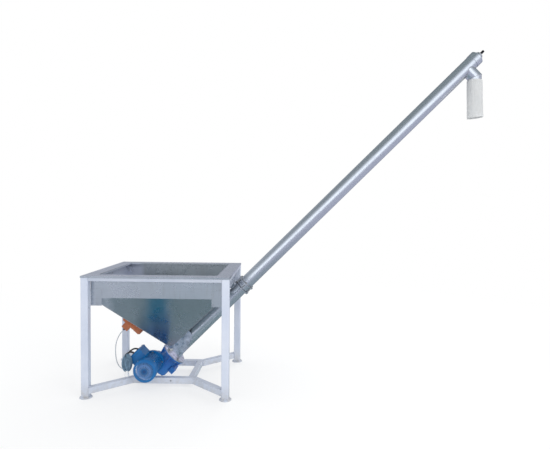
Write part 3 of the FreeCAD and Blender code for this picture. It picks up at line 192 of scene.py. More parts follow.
def prism(place, outline, low, high, bevel=0.0):
    """A prism over a convex outline round the origin, its upper edge bevelled."""
    points, faces = [], []
    reach = max(math.hypot(x, y) for x, y in outline)
    levels = [(low, 1.0), (high - bevel, 1.0)]
    if bevel:
        levels += [(high - 0.3 * bevel, 1 - 0.3 * bevel / reach), (high, 1 - bevel / reach)]
    for height, scale in levels:
        points += [spot(place, x * scale, y * scale, height) for x, y in outline]
    count = len(outline)
    for level in range(len(levels) - 1):
        for step in range(count):
            following = (step + 1) % count
            low_row, high_row = level * count, (level + 1) * count
            faces.append([low_row + step, low_row + following,
                          high_row + following, high_row + step])
    faces.append(list(reversed(range(count))))
    faces.append(list(range((len(levels) - 1) * count, len(levels) * count)))
    return points, faces


def rounded(half_x, half_y, corner, steps=5):
    """A rounded rectangle as outline points."""
    outline = []
    for quarter, (side_x, side_y) in enumerate(((1, 1), (-1, 1), (-1, -1), (1, -1))):
        for step in range(steps + 1):
            angle = math.pi / 2 * (quarter + step / steps)
            outline.append((side_x * (half_x - corner) + corner * math.cos(angle),
                            side_y * (half_y - corner) + corner * math.sin(angle)))
    return outline


def hexagon(radius):
    """A hexagon as outline points."""
    corners = [math.pi * step / 3 for step in range(6)]
    return [(radius * math.cos(angle), radius * math.sin(angle)) for angle in corners]


def bead(path, radius, closed=False, pitch=3.5):
    """A weld bead: the path is cut to even steps and the bar swells and sinks along it."""
    even = resample(path, pitch / 2 * MM, closed)

    def swell(step):
        ripple = 1.0 if step % 2 else 0.86
        return ripple * (1 + 0.16 * noise.noise(even[step] * 180))

    return sweep(even, radius, sides=8, closed=closed, swell=swell)


def resample(path, gap, closed=False):
    """The same path with points an even gap apart."""
    corners = list(path) + ([path[0]] if closed else [])
    total = sum((after - before).length for before, after in zip(corners, corners[1:]))
    count = max(2, round(total / gap))
    even, travelled, target = [], 0.0, 0.0
    for before, after in zip(corners, corners[1:]):
        length = (after - before).length
        while target <= travelled + length + 1e-9 and len(even) < count:
            even.append(before.lerp(after, (target - travelled) / max(length, 1e-9)))
            target += total / (count if closed else count - 1)
        travelled += length
    return even


def circle_path(place, radius, height, steps=96):
    """A level circle in one of the frames above."""
    angles = [math.tau * step / steps for step in range(steps)]
    return [spot(place, radius * math.cos(angle), radius * math.sin(angle), height) for angle in angles]


def join(*parts):
    """Several closed shapes as one set of points and faces."""
    points, faces = [], []
    for part_points, part_faces in parts:
        start = len(points)
        points += part_points
        faces += [[start + corner for corner in face] for face in part_faces]
    return points, faces


def piece(name, shapes, finish, body="frame", smooth=35):
    """A finished piece from closed shapes: mesh, finish, slot and the body it rides on."""
    points, faces = join(*shapes)
    mesh = bpy.data.meshes.new(name)
    mesh.from_pydata(points, [], faces)
    mesh.validate()
    made = bpy.data.objects.new(name, mesh)
    bpy.context.scene.collection.objects.link(made)
    repair = bmesh.new()
    repair.from_mesh(mesh)
    bmesh.ops.recalc_face_normals(repair, faces=repair.faces)
    repair.to_mesh(mesh)
    repair.free()
    mesh.shade_smooth()
    mesh.set_sharp_from_angle(angle=math.radians(smooth))
    mesh.materials.append(finish)
    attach(made, body)
    return made


# ------------------------------------------------------------------ shader writing


class Shader:
    """A node tree written from the inside out: each method adds a node and returns its output."""

    def __init__(self, name, kind=bpy.data.materials, place="Object"):
        self.material = kind.new(name)
        self.material.use_nodes = True
        self.tree = self.material.node_tree
        self.tree.nodes.clear()
        self.place = self.node("ShaderNodeTexCoord").outputs[place]

    def node(self, kind, **settings):
        """Add a node and set its properties."""
        made = self.tree.nodes.new(kind)
        for key, setting in settings.items():
            setattr(made, key, setting)
        return made

    def feed(self, socket, source):
        """Link an output to a socket, or set the socket to a value or colour."""
        if isinstance(source, bpy.types.NodeSocket):
            self.tree.links.new(source, socket)
        elif isinstance(source, tuple) and len(source) == 3 and socket.type == "RGBA":
            socket.default_value = (*source, 1)
        else:
            socket.default_value = source

    def noise(self, scale, detail=3.0, roughness=0.55, stretch=None):
        """Soft noise of about 0 to 1; stretch scales the coordinates along X, Y and Z."""
        made = self.node("ShaderNodeTexNoise")
        self.feed(made.inputs["Vector"], self.stretched(stretch) if stretch else self.place)
        made.inputs["Scale"].default_value = scale
        made.inputs["Detail"].default_value = detail
        made.inputs["Roughness"].default_value = roughness
        return made.outputs["Fac"]

    def stretched(self, stretch, turn=(0, 0, 0)):
        """The place with its coordinates turned and scaled."""
        made = self.node("ShaderNodeMapping")
        self.feed(made.inputs["Vector"], self.place)
        made.inputs["Scale"].default_value = stretch
        made.inputs["Rotation"].default_value = turn
        return made.outputs["Vector"]

    def ramp(self, factor, *stops):
        """A ramp through (position, value or colour) stops."""
        made = self.node("ShaderNodeValToRGB")
        self.feed(made.inputs["Fac"], factor)
        elements = made.color_ramp.elements
        while len(elements) < len(stops):
            elements.new(0.5)
        for element, (position, colour) in zip(elements, stops):
            element.position = position
            shade = colour if isinstance(colour, tuple) else (colour, colour, colour)
            element.color = (*shade, 1)
        return made.outputs["Color"]

    def mix(self, factor, first, second, mode="MIX"):
        """Two colours mixed by a factor."""
        made = self.node("ShaderNodeMix", data_type="RGBA", blend_type=mode)
        self.feed(made.inputs[0], factor)
        self.feed(made.inputs[6], first)
        self.feed(made.inputs[7], second)
        return made.outputs[2]

    def maths(self, operation, first, second=0.0):
        """One arithmetic step on numbers."""
        made = self.node("ShaderNodeMath", operation=operation)
        self.feed(made.inputs[0], first)
        self.feed(made.inputs[1], second)
        return made.outputs[0]

    def vectors(self, operation, first, second=(0, 0, 0)):
        """One arithmetic step on vectors; a dot product comes out as a number."""
        made = self.node("ShaderNodeVectorMath", operation=operation)
        self.feed(made.inputs[0], first)
        self.feed(made.inputs[1], second)
        return made.outputs["Value"] if operation == "DOT_PRODUCT" else made.outputs["Vector"]

    def bump(self, height, distance, strength=1.0, normal=None):
        """A normal that follows a height, over an earlier normal when there is one."""
        made = self.node("ShaderNodeBump")
        self.feed(made.inputs["Height"], height)
        made.inputs["Distance"].default_value = distance
        made.inputs["Strength"].default_value = strength
        if normal is not None:
            self.feed(made.inputs["Normal"], normal)
        return made.outputs["Normal"]

    def part(self, axis, vector=None):
        """One coordinate of a vector, or of the place when no vector is given."""
        made = self.node("ShaderNodeSeparateXYZ")
        self.feed(made.inputs[0], self.place if vector is None else vector)
        return made.outputs[axis]

    def blend(self, factor, first, second):
        """Two surfaces mixed by a factor."""
        made = self.node("ShaderNodeMixShader")
        self.feed(made.inputs[0], factor)
        self.tree.links.new(first, made.inputs[1])
        self.tree.links.new(second, made.inputs[2])
        return made.outputs[0]

    def close(self, source, kind="ShaderNodeOutputMaterial"):
        """Join the last surface to the tree's output."""
        output = self.node(kind)
        self.tree.links.new(source, output.inputs["Surface"])
        return self.material

    def edges(self, reach):
        """0 on flat faces, towards 1 on sharp edges within a reach in metres."""
        made = self.node("ShaderNodeBevel", samples=4)
        made.inputs["Radius"].default_value = reach
        flat = self.node("ShaderNodeNewGeometry").outputs["Normal"]
        return self.maths("SUBTRACT", 1.0, self.vectors("DOT_PRODUCT", made.outputs["Normal"], flat))

    def facing(self):
        """0 where the surface looks at the viewer, 1 where it turns away."""
        made = self.node("ShaderNodeLayerWeight")
        made.inputs["Blend"].default_value = 0.5
        return made.outputs["Facing"]

    def surface(self, **inputs):
        """Close the tree with one Principled shader; words are its sockets, _ for a space."""
        made = self.node("ShaderNodeBsdfPrincipled")
        for key, source in inputs.items():
            self.feed(made.inputs[key.replace("_", " ")], source)
        return self.close(made.outputs["BSDF"])


# ------------------------------------------------------------------ finishes


def frame_paint(name="frame_paint", tone=1.0):
    """White paint with a cold tint, orange peel, dust near the floor and thin grey scuffs on the edges."""
    made = Shader(name)
    # A tone below 1 darkens the whole coat: painted shade, used for the top rails.
    cloudy = made.ramp(made.noise(3.5), (0.3, (0.56 * tone, 0.62 * tone, 0.75 * tone)),
                       (0.7, (0.66 * tone, 0.71 * tone, 0.82 * tone)))
    overlay_mask = made.maths("MULTIPLY", made.ramp(made.part("Z"), (0.0, 0.75), (0.14, 0.0)),
                      made.ramp(made.noise(28, 5), (0.35, 0.2), (0.65, 1.0)))
    dusty = made.mix(overlay_mask, cloudy, (0.46, 0.44, 0.42))
    rub = made.maths("MULTIPLY", made.ramp(made.edges(0.0025), (0.10, 0.0), (0.3, 1.0)),
                     made.ramp(made.noise(40, 5), (0.56, 0.0), (0.66, 0.8)))
    colour = made.mix(rub, dusty, (0.30, 0.31, 0.33))
    speck = made.ramp(made.noise(900, 2), (0.74, 0.0), (0.80, 0.35))
    colour = made.mix(speck, colour, (0.42, 0.43, 0.46))
    gloss = made.ramp(made.noise(14, 4), (0.3, 0.26), (0.7, 0.42))
    peel = made.bump(made.noise(420, 2), 0.0004, 0.35)
    return made.surface(Base_Color=colour, Roughness=gloss, Normal=peel, Coat_Weight=0.25,
                        Coat_Roughness=0.2)


def upright_tangent(made):
    """A direction that runs up each wall, for a sheet whose rolling marks lie level."""
    normal = made.node("ShaderNodeNewGeometry").outputs["Normal"]
    level = made.vectors("CROSS_PRODUCT", (0.02, 0.01, 1.0), normal)
    return made.vectors("NORMALIZE", made.vectors("CROSS_PRODUCT", normal, level))


def inside_painted_light(made):
    """A pale, less metallic film on the hopper's inner faces, thick on its left and fading to the right: painted
    light.
    """
    inward = made.vectors("DOT_PRODUCT", made.node("ShaderNodeNewGeometry").outputs["Normal"],
                          made.vectors("SUBTRACT", tuple(MIDDLE), made.place))
    wander = made.maths("MULTIPLY", made.maths("SUBTRACT", made.noise(5, 4), 0.5), 0.10)
    along = made.maths("ADD", made.maths("SUBTRACT", made.part("X"), MIDDLE.x - 0.6), wander)
    upright = made.ramp(made.part("Z"), (0.80, 0.35), (0.84, 1.0))
    film = made.maths("MULTIPLY", made.ramp(along, (0.0, 0.9), (0.18, 0.8), (0.24, 0.0)), upright)
    inner = made.maths("MULTIPLY", made.maths("GREATER_THAN", inward, 0.05),
                       made.maths("LESS_THAN", made.part("Z"), 0.995))
    return made.maths("MULTIPLY", film, inner)


def rolled_sheet(name, dark, light, roughness=(0.22, 0.36)):
    """Stainless sheet: level rolling marks and scratches, slow buckles, faint grey runs, and painted light inside.
    """
    made = Shader(name)
    marks = made.noise(3, 6, 0.7, stretch=(2.5, 2.5, 260))
    clouds = made.noise(2.2, 5, 0.6)
    tone = made.maths("ADD", made.maths("MULTIPLY", marks, 0.55), made.maths("MULTIPLY", clouds, 0.45))
    colour = made.ramp(tone, (0.32, dark), (0.68, light))
    runs = made.ramp(made.noise(7, 5, 0.65, stretch=(5, 5, 0.6)), (0.52, 0.0), (0.75, 0.30))
    colour = made.mix(runs, colour, (0.36, 0.35, 0.33))
    scratches = made.ramp(made.noise(5, 4, 0.6, stretch=(30, 30, 420)), (0.66, 0.0), (0.70, 1.0))
    gloss = made.ramp(made.noise(6, 6, 0.7), (0.3, roughness[0]), (0.7, roughness[1]))
    gloss = made.mix(made.maths("MULTIPLY", scratches, 0.5), gloss, (0.6, 0.6, 0.6))
    # Painted light: a pale, less metallic film that lightens the hopper's left inner walls.
    overlay_mask = inside_painted_light(made)
    colour = made.mix(overlay_mask, colour, (0.60, 0.65, 0.80))
    bare = made.maths("SUBTRACT", 1.0, made.maths("MULTIPLY", overlay_mask, 0.85))
    buckles = made.bump(made.noise(1.6, 1.5), 0.05, 0.22)
    normal = made.bump(marks, 0.0006, 0.18, buckles)
    normal = made.bump(scratches, 0.0002, 0.25, normal)
    return made.surface(Base_Color=colour, Metallic=bare, Roughness=gloss, Normal=normal, Anisotropic=0.85,
                        Tangent=upright_tangent(made))


def tube_steel():
    """Polished stainless tube: draw marks along its length, smudges, and painted shade darkening it towards its
    outline.
    """
    made = Shader("tube_steel")
    along = made.stretched((60, 60, 1.2), (0, math.radians(-45), 0))
    marks = made.node("ShaderNodeTexNoise")
    made.feed(marks.inputs["Vector"], along)
    marks.inputs["Scale"].default_value = 3.0
    marks.inputs["Detail"].default_value = 5.0
    lines = marks.outputs["Fac"]
    clouds = made.noise(4, 5)
    tone = made.maths("ADD", made.maths("MULTIPLY", lines, 0.6), made.maths("MULTIPLY", clouds, 0.4))
    colour = made.ramp(tone, (0.32, (0.66, 0.69, 0.74)), (0.68, (0.78, 0.81, 0.86)))
    # Painted shade: the colour darkens where the tube turns away from the eye.
    painted_outline_shade = made.ramp(made.facing(), (0.50, 1.0), (0.80, 0.62), (0.95, 0.45))
    colour = made.mix(1.0, colour, painted_outline_shade, "MULTIPLY")
    smudge = made.ramp(made.noise(9, 6, 0.7), (0.35, 0.22), (0.7, 0.34))
    normal = made.bump(lines, 0.0003, 0.08)
    return made.surface(Base_Color=colour, Metallic=0.95, Roughness=smudge, Normal=normal)


def worked_steel(name, colour, roughness, grain=90):
    """Machined, plated or cast metal with fine marks and a little grime."""
    made = Shader(name)
    darker = tuple(channel * 0.62 for channel in colour)
    tone = made.ramp(made.noise(grain, 5, 0.65), (0.35, darker), (0.62, colour))
    grime = made.ramp(made.noise(22, 4), (0.55, 0.0), (0.78, 0.5))
    tone = made.mix(grime, tone, (0.13, 0.12, 0.11))
    gloss = made.ramp(made.noise(grain / 2, 4), (0.3, roughness - 0.08), (0.7, roughness + 0.12))
    normal = made.bump(made.noise(grain * 8, 3), 0.0003, 0.25)
    return made.surface(Base_Color=tone, Metallic=0.95, Roughness=gloss, Normal=normal)


def shaft_steel():
    """Ground shaft whose free end, past the head bearing, is blackened and rubbed."""
    made = Shader("shaft_steel")
    ground = made.ramp(made.noise(90, 5), (0.35, (0.40, 0.41, 0.43)), (0.62, (0.62, 0.64, 0.67)))
    station = made.vectors("DOT_PRODUCT", made.vectors("SUBTRACT", made.place, tuple(AUGER.translation)),
                           tuple(CLIMB))
    black = made.ramp(made.noise(120, 4), (0.4, (0.016, 0.017, 0.02)), (0.8, (0.10, 0.10, 0.11)))
    colour = made.mix(made.maths("GREATER_THAN", station, SHAFT_TIP), ground, black)
    normal = made.bump(made.noise(800, 3), 0.0002, 0.2)
    return made.surface(Base_Color=colour, Metallic=0.8, Roughness=0.38, Normal=normal)


def weld_metal(name, colour, tint):
    """A weld bead: bright patches with a dull heat tint in between."""
    made = Shader(name)
    tone = made.ramp(made.noise(160, 4), (0.35, tint), (0.65, colour))
    normal = made.bump(made.noise(700, 3), 0.0004, 0.4)
    return made.surface(Base_Color=tone, Metallic=0.85, Roughness=0.42, Normal=normal)


def enamel(name, colour, deep):
    """Machine enamel on a casting: cloudy gloss, cast grain, dust on top faces and chipped edges."""
    made = Shader(name)
    clouds = made.ramp(made.noise(9, 5, 0.6), (0.3, deep), (0.7, colour))
    up = made.part("Z", made.node("ShaderNodeNewGeometry").outputs["Normal"])
    overlay_mask = made.maths("MULTIPLY", made.ramp(up, (0.55, 0.0), (1.0, 0.38)),
                      made.ramp(made.noise(60, 5), (0.3, 0.3), (0.7, 1.0)))
    clouds = made.mix(overlay_mask, clouds, (0.42, 0.41, 0.38))
    edge = made.edges(0.0022)
    worn = made.maths("MULTIPLY", made.ramp(edge, (0.08, 0.0), (0.28, 1.0)),
                      made.ramp(made.noise(75, 5), (0.55, 0.0), (0.64, 0.9)))
    tone = made.mix(worn, clouds, (0.22, 0.22, 0.23))
    grime = made.ramp(made.noise(17, 6, 0.7), (0.60, 0.0), (0.80, 0.5))
    tone = made.mix(grime, tone, tuple(channel * 0.35 for channel in deep))
    gloss = made.ramp(made.noise(30, 4), (0.3, 0.26), (0.7, 0.46))
    normal = made.bump(made.noise(520, 3), 0.0006, 0.30)
    return made.surface(Base_Color=tone, Roughness=gloss, Normal=normal, Coat_Weight=0.18,
                        Coat_Roughness=0.2)


def cowl_enamel():
    """The fan cover's blue enamel: a lighter ring over the grille round a dark hub."""
    made = Shader("cowl_enamel")
    blue = made.ramp(made.noise(9, 5, 0.6), (0.3, (0.004, 0.115, 0.36)), (0.7, (0.004, 0.165, 0.45)))
    from_axis = made.vectors("SUBTRACT", made.place, tuple(MOTOR.translation))
    flat = made.vectors("MULTIPLY", from_axis, (1, 0, 1))
    length = made.node("ShaderNodeVectorMath", operation="LENGTH")
    made.feed(length.inputs[0], flat)
    radius = made.maths("ADD", made.maths("MULTIPLY", length.outputs["Value"], 10.0),
                        made.maths("MULTIPLY", made.noise(40, 4), 0.08))
    faced = made.maths("GREATER_THAN", made.maths("MULTIPLY", made.part("Y", from_axis), -1.0), 0.345)
    ring = made.ramp(radius, (0.24, 0.0), (0.36, 0.9), (0.66, 0.75), (0.86, 0.0))
    blue = made.mix(made.maths("MULTIPLY", ring, faced), blue, (0.12, 0.24, 0.50))
    hub = made.ramp(radius, (0.16, 0.75), (0.26, 0.0))
    blue = made.mix(made.maths("MULTIPLY", hub, faced), blue, (0.012, 0.035, 0.14))
    grime = made.ramp(made.noise(17, 6, 0.7), (0.60, 0.0), (0.80, 0.4))
    blue = made.mix(grime, blue, (0.004, 0.03, 0.10))
    gloss = made.ramp(made.noise(30, 4), (0.3, 0.34), (0.7, 0.5))
    normal = made.bump(made.noise(520, 3), 0.0004, 0.25)
    return made.surface(Base_Color=blue, Roughness=gloss, Normal=normal, Coat_Weight=0.1, Coat_Roughness=0.3)


def moulded(name, colour, roughness=0.5, grain=700, sheen=0.0):
    """Moulded plastic or rubber with a fine grain, a bloom of dust and rubbed patches."""
    made = Shader(name)
    lighter = tuple(min(1.0, channel * 1.35 + 0.02) for channel in colour)
    tone = made.ramp(made.noise(24, 4), (0.35, colour), (0.75, lighter))
    gloss = made.ramp(made.noise(45, 4), (0.3, roughness - 0.08), (0.7, roughness + 0.14))
    normal = made.bump(made.noise(grain, 2), 0.0003, 0.3)
    return made.surface(Base_Color=tone, Roughness=gloss, Normal=normal, Sheen_Weight=sheen)


def sleeve_cloth():
    """Thin white woven sleeve: a fine weave, patches of faint grain dust, light through it."""
    made = Shader("sleeve_cloth")
    warp = made.node("ShaderNodeTexWave", wave_type="BANDS", bands_direction="Z")
    made.feed(warp.inputs["Vector"], made.place)
    warp.inputs["Scale"].default_value = 150
    weft = made.node("ShaderNodeTexWave", wave_type="BANDS", bands_direction="DIAGONAL")
    made.feed(weft.inputs["Vector"], made.stretched((1, 1, 0.001)))
    weft.inputs["Scale"].default_value = 110
    weave = made.maths("MULTIPLY", warp.outputs["Fac"], weft.outputs["Fac"])
    cloth = made.ramp(made.noise(9, 4), (0.3, (0.72, 0.74, 0.75)), (0.7, (0.80, 0.81, 0.82)))
    dusty = made.ramp(made.noise(13, 6, 0.7), (0.55, 0.0), (0.8, 0.22))
    cloth = made.mix(dusty, cloth, (0.60, 0.57, 0.50))
    shell = made.node("ShaderNodeBsdfPrincipled")
    made.feed(shell.inputs["Base Color"], cloth)
    shell.inputs["Roughness"].default_value = 0.75
    shell.inputs["Sheen Weight"].default_value = 0.3
    made.feed(shell.inputs["Normal"], made.bump(weave, 0.0001, 0.05))
    glow = made.node("ShaderNodeBsdfTranslucent")
    made.feed(glow.inputs["Color"], cloth)
    return made.close(made.blend(0.3, shell.outputs[0], glow.outputs[0]))


SHAFT_TIP = auger_range("head_bearing_housing")[1] * MM
FINISH = {
    "shaft": shaft_steel(),
    "frame_paint": frame_paint(),
    # A darker copy of the frame paint: painted shade on the top rails.
    "shaded_rail_paint": frame_paint("shaded_rail_paint", 0.82),
    # A lighter copy of the blue enamel for the motor body: painted light that lifts it out of the shade it sits
    # in.
    "lit_motor_paint": enamel("lit_motor_enamel", (0.006, 0.25, 0.62), (0.004, 0.18, 0.50)),
    "stainless": rolled_sheet("rolled_sheet", (0.46, 0.50, 0.53), (0.60, 0.63, 0.67)),
    "tube": tube_steel(),
    "bright_steel": worked_steel("machined_steel", (0.62, 0.64, 0.67), 0.30),
    "cheek": worked_steel("bright_sheet", (0.84, 0.84, 0.95), 0.30, grain=40),
    "fasteners": worked_steel("zinc_plate", (0.66, 0.66, 0.64), 0.34, grain=140),
    "blue_paint": enamel("blue_enamel", (0.004, 0.165, 0.45), (0.004, 0.115, 0.36)),
    "cowl_paint": cowl_enamel(),
    "gear_paint": enamel("gear_enamel", (0.022, 0.18, 0.54), (0.017, 0.115, 0.42)),
    "orange_paint": enamel("orange_enamel", (0.56, 0.18, 0.07), (0.40, 0.11, 0.04)),
    "bronze": worked_steel("cast_bronze", (0.62, 0.36, 0.13), 0.34),
    "core_steel": worked_steel("laminated_steel", (0.24, 0.24, 0.25), 0.5, grain=200),
    "black_steel": worked_steel("black_steel", (0.035, 0.035, 0.04), 0.42),
    "black_plastic": moulded("black_plastic", (0.014, 0.014, 0.016), 0.42),
    "white_plastic": moulded("white_plastic", (0.78, 0.80, 0.82), 0.32),
    "thin_cable": moulded("thin_cable", (0.46, 0.50, 0.54), 0.45),
    "grey_cable": moulded("grey_cable", (0.13, 0.22, 0.31), 0.45, sheen=0.1),
    "rubber": moulded("black_rubber", (0.018, 0.018, 0.019), 0.6, sheen=0.2),
    "sleeve_fabric": sleeve_cloth(),
    "weld": weld_metal("steel_weld", (0.62, 0.63, 0.66), (0.44, 0.42, 0.42)),
}
OWN_FINISH = {"lower_tube": "tube", "upper_tube": "tube", "discharge_spout": "tube", "head_cap": "tube",
              "tube_hanger": "tube", "gearbox_housing": "gear_paint", "gearbox_cover": "gear_paint",
              "vibrator_cable": "thin_cable", "screw_shaft": "shaft",
              "fan_cover": "cowl_paint", "motor_frame": "lit_motor_paint",
              "inlet_housing": "cheek", "drive_flange": "cheek",
              "top_rails_long": "shaded_rail_paint", "top_rails_short": "shaded_rail_paint"}


def paint_nodes():
    """Give every node of the frame the finish that its material slot names."""
    for subpart in frame["record"]["subparts"]:
        node = subpart["node"]
        finish = FINISH[OWN_FINISH.get(node, subpart["material_slot"])]
        for slot in NODES[node].material_slots:
            slot.material = finish


# ------------------------------------------------------------------ weld beads


def square_loop(low, high, height, reach=1.5):
    """A loop round an upright square tube at a height, metres."""
    gap = reach * MM
    x0, y0, x1, y1 = low.x - gap, low.y - gap, high.x + gap, high.y + gap
    cut = 6 * MM
    return [Vector(point) for point in (
        (x0 + cut, y0, height), (x1 - cut, y0, height), (x1, y0 + cut, height), (x1, y1 - cut, height),
        (x1 - cut, y1, height), (x0 + cut, y1, height), (x0, y1 - cut, height), (x0, y0 + cut, height))]


def frame_welds():
    """Painted-over beads: legs to foot plates and rails, braces and cross members to their neighbours."""
    shapes = []
    plate_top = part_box("foot_plates")[1].z
    rails_low, rails_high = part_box("top_rails_long")
    start, stop = rails_low.z, rails_high.z - 16 * MM
    short = 4 * MM
    for corner in ("front_left", "front_right", "rear_left", "rear_right"):
        low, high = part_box("leg_" + corner)
        shapes.append(bead(square_loop(low, high, plate_top + 1.5 * MM), 3.2, closed=True))
        side_x = 1 if low.x < MIDDLE.x else -1
        side_y = 1 if low.y < 0 else -1
        outer_x, inner_x = (low.x, high.x) if side_x > 0 else (high.x, low.x)
        outer_y, inner_y = (low.y, high.y) if side_y > 0 else (high.y, low.y)
        upright = [Vector((inner_x, inner_y, start + short)), Vector((inner_x, inner_y, stop))]
        shapes.append(bead([Vector((inner_x, outer_y + side_y * short, start)),
                            Vector((inner_x, inner_y - side_y * short, start))] + upright, 2.6))
        shapes.append(bead([Vector((outer_x + side_x * short, inner_y, start)),
                            Vector((inner_x - side_x * short, inner_y, start))] + upright, 2.6))
    shapes += brace_welds()
    piece("frame_weld_beads", shapes, FINISH["frame_paint"])


def brace_welds():
    """Beads round the brace ends at the legs, and up the cross members' ends."""
    shapes = []
    for name in ("lower_brace_front", "lower_brace_rear"):
        low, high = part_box(name)
        for end_x in (low.x, high.x):
            across = [vertex.co.y for vertex in NODES[name].data.vertices
                      if abs(vertex.co.x - end_x) < 0.5 * MM]
            near, far = min(across), max(across)
            loop = [Vector((end_x, near, low.z)), Vector((end_x, far, low.z)),
                    Vector((end_x, far, high.z)), Vector((end_x, near, high.z))]
            shapes.append(bead(loop, 2.8, closed=True))
    low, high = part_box("cross_members")
    wide = high.z - low.z
    for start in (low.x, high.x - wide):
        for y in (low.y, high.y):
            for x in (start, start + wide):
                shapes.append(bead([Vector((x, y, low.z)), Vector((x, y, high.z))], 2.6))
    return shapes


def cone_corners():
    """The hopper cone's four ridges as (upper corner, lower corner)."""
    low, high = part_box("hopper_cone")
    bottom = [vertex.co for vertex in NODES["hopper_cone"].data.vertices if vertex.co.z < low.z + 1 * MM]
    left, right = min(point.x for point in bottom), max(point.x for point in bottom)
    near = min(point.y for point in bottom)
    ridges = []
    for side_y in (-1, 1):
        for top_x, foot_x in ((low.x, left), (high.x, right)):
            ridges.append((Vector((top_x, side_y * high.y, high.z)),
                           Vector((foot_x, -side_y * near, low.z))))
    return ridges


STITCH = 14
GUSSET_LENGTH = 90 * MM


def hopper_welds():
    """Bare beads down the hopper's ridges and skirt corners, and stitches round the gussets."""
    shapes = []
    skirt_low, skirt_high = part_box("hopper_skirt")
    rim_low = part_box("hopper_rim")[0].z
    for top, foot in cone_corners():
        shapes.append(bead([top, foot.lerp(top, 0.02)], 2.2))
        shapes.append(bead([top, Vector((top.x, top.y, rim_low))], 1.8))
    low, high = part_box("hopper_gussets")
    height = high.z - low.z
    for side_x in (-1, 1):
        for face in (skirt_low.y, skirt_high.y):
            inner = low.x + GUSSET_LENGTH if side_x < 0 else high.x - GUSSET_LENGTH
            outer = low.x if side_x < 0 else high.x
            for start in (0.08, 0.42, 0.76):
                z = low.z + height * 0.45 + (height * 0.55) * start
                shapes.append(bead([Vector((inner, face, z)),
                                    Vector((inner, face, z + STITCH * MM))], 2.2))
                x = outer + (inner - outer) * (start + 0.05)
                shapes.append(bead([Vector((x, face, high.z)),
                                    Vector((x - side_x * STITCH * MM, face, high.z))], 2.2))
    piece("hopper_weld_beads", shapes, FINISH["weld"])


def tube_welds():
    """Beads on the tube: behind both flanges of its joint, along the spout's saddle and its mitre."""
    shapes = []
    lower_end = auger_range("lower_tube")[1]
    upper_start = auger_range("upper_tube")[0]
    for station in (lower_end - 9, upper_start + 9):
        shapes.append(bead(circle_path(AUGER, TUBE_RADIUS + 1, station), 2.4, closed=True))
    station, spout = spout_place()
    saddle = []
    for step in range(96):
        angle = math.tau * step / 96
        y = spout * math.sin(angle)
        out = math.sqrt(TUBE_RADIUS ** 2 - y ** 2) + 1
        saddle.append(spot(AUGER, out, y, station + spout * math.cos(angle)))
    shapes.append(bead(saddle, 2.4, closed=True))
    elbow = spot(AUGER, SPOUT_REACH, 0, station)
    slope = (DOWN_RIGHT - Z).normalized()
    ring = []
    for step in range(96):
        angle = math.tau * step / 96
        start = elbow + (CLIMB * math.cos(angle) + Y * math.sin(angle)) * spout * MM
        travel = -(start - elbow).dot(slope) / DOWN_RIGHT.dot(slope)
        ring.append(start + DOWN_RIGHT * travel)
    shapes.append(bead(ring, 1.9, closed=True))
    piece("tube_weld_beads", shapes, FINISH["weld"])


def spout_place():
    """The spout's station on the auger's axis and its radius, in millimetres."""
    low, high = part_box("discharge_spout")
    radius = (high.y - low.y) / 2 / MM
    foot = (high.x - AUGER.translation.x) / MM - radius
    return foot * math.sqrt(2) - SPOUT_REACH, radius


# ------------------------------------------------------------------ gear motor details


def screw_head(place, x, y, z, radius, height):
    """A hexagon head with a washer under it."""
    seat = moved(place, x, y, z)
    rim, thick = radius * 1.25, 0.9
    washer = lathe(seat, [(0, 0), (rim, 0), (rim, thick), (0, thick)], 24)
    return join(washer, prism(seat, hexagon(radius), thick, thick + height, 1.0))


def socket_screw(place, x, y, z, radius, height):
    """A round head with a round socket."""
    return lathe(moved(place, x, y, z),
                 [(0, 0), (radius, 0), (radius, height - 0.6), (radius - 0.6, height),
                  (radius * 0.55, height), (radius * 0.5, height * 0.4), (0, height * 0.4)], 20)


def motor_details():
    """Screws of the terminal box lid and the fan cover, the lid's gasket and its three ribs."""
    lid_low, lid_high = box_in(MOTOR, "terminal_box_lid")
    out = placed(MOTOR.translation, MOTOR.to_3x3() @ Z, MOTOR.to_3x3() @ -X)
    half_long = (lid_high.z - lid_low.z) / 2 / MM
    half_wide = (lid_high.y - lid_low.y) / 2 / MM
    top, joint = -lid_low.x / MM, -lid_high.x / MM
    seat = moved(out, (lid_low.z + lid_high.z) / 2 / MM, 0, 0)
    inset, screw_radius = 15, 5
    screws = [socket_screw(seat, side_x * (half_long - inset), side_y * (half_wide - inset),
                           top - 0.3, screw_radius, 4)
              for side_x in (-1, 1) for side_y in (-1, 1)]
    cowl_low, cowl_high = box_in(MOTOR, "fan_cover")
    edge = cowl_low.z / MM + 9
    quarter = Matrix.Rotation(math.pi / 2, 4, "Y")
    for number in range(4):
        side = MOTOR @ Matrix.Rotation(math.pi / 2 * number, 4, "Z") @ quarter
        screws.append(screw_head(side, -edge, 0, cowl_high.x / MM - 0.4, screw_radius, 3))
    piece("motor_screws", screws, FINISH["fasteners"])

    gasket = prism(seat, rounded(half_long - 1, half_wide - 1, 4), joint - 1.4, joint + 1.2)
    piece("terminal_gasket", [gasket], FINISH["rubber"])
    rib = rounded(half_long - 22, 4, 3.5)
    ribs = [prism(moved(seat, 0, side * half_wide * 0.45, 0), rib, top - 0.5, top + 2.4, 1.4)
            for side in (-1, 0, 1)]
    piece("terminal_lid_ribs", ribs, FINISH["blue_paint"])


COIL_HUB = near_middle(-300, -284, 223)
COIL_WIDE, COIL_TALL = 40, 76
CABLE_SLEEVES = (
    ((-322, -270, 262), (-312, -263, 290), (-284, -262, 311), (-258, -258, 309), (-236, -246, 290)),
    ((-300, -262, 292), (-274, -256, 323), (-241, -254, 340), (-209, -250, 334), (-196, -236, 312)))


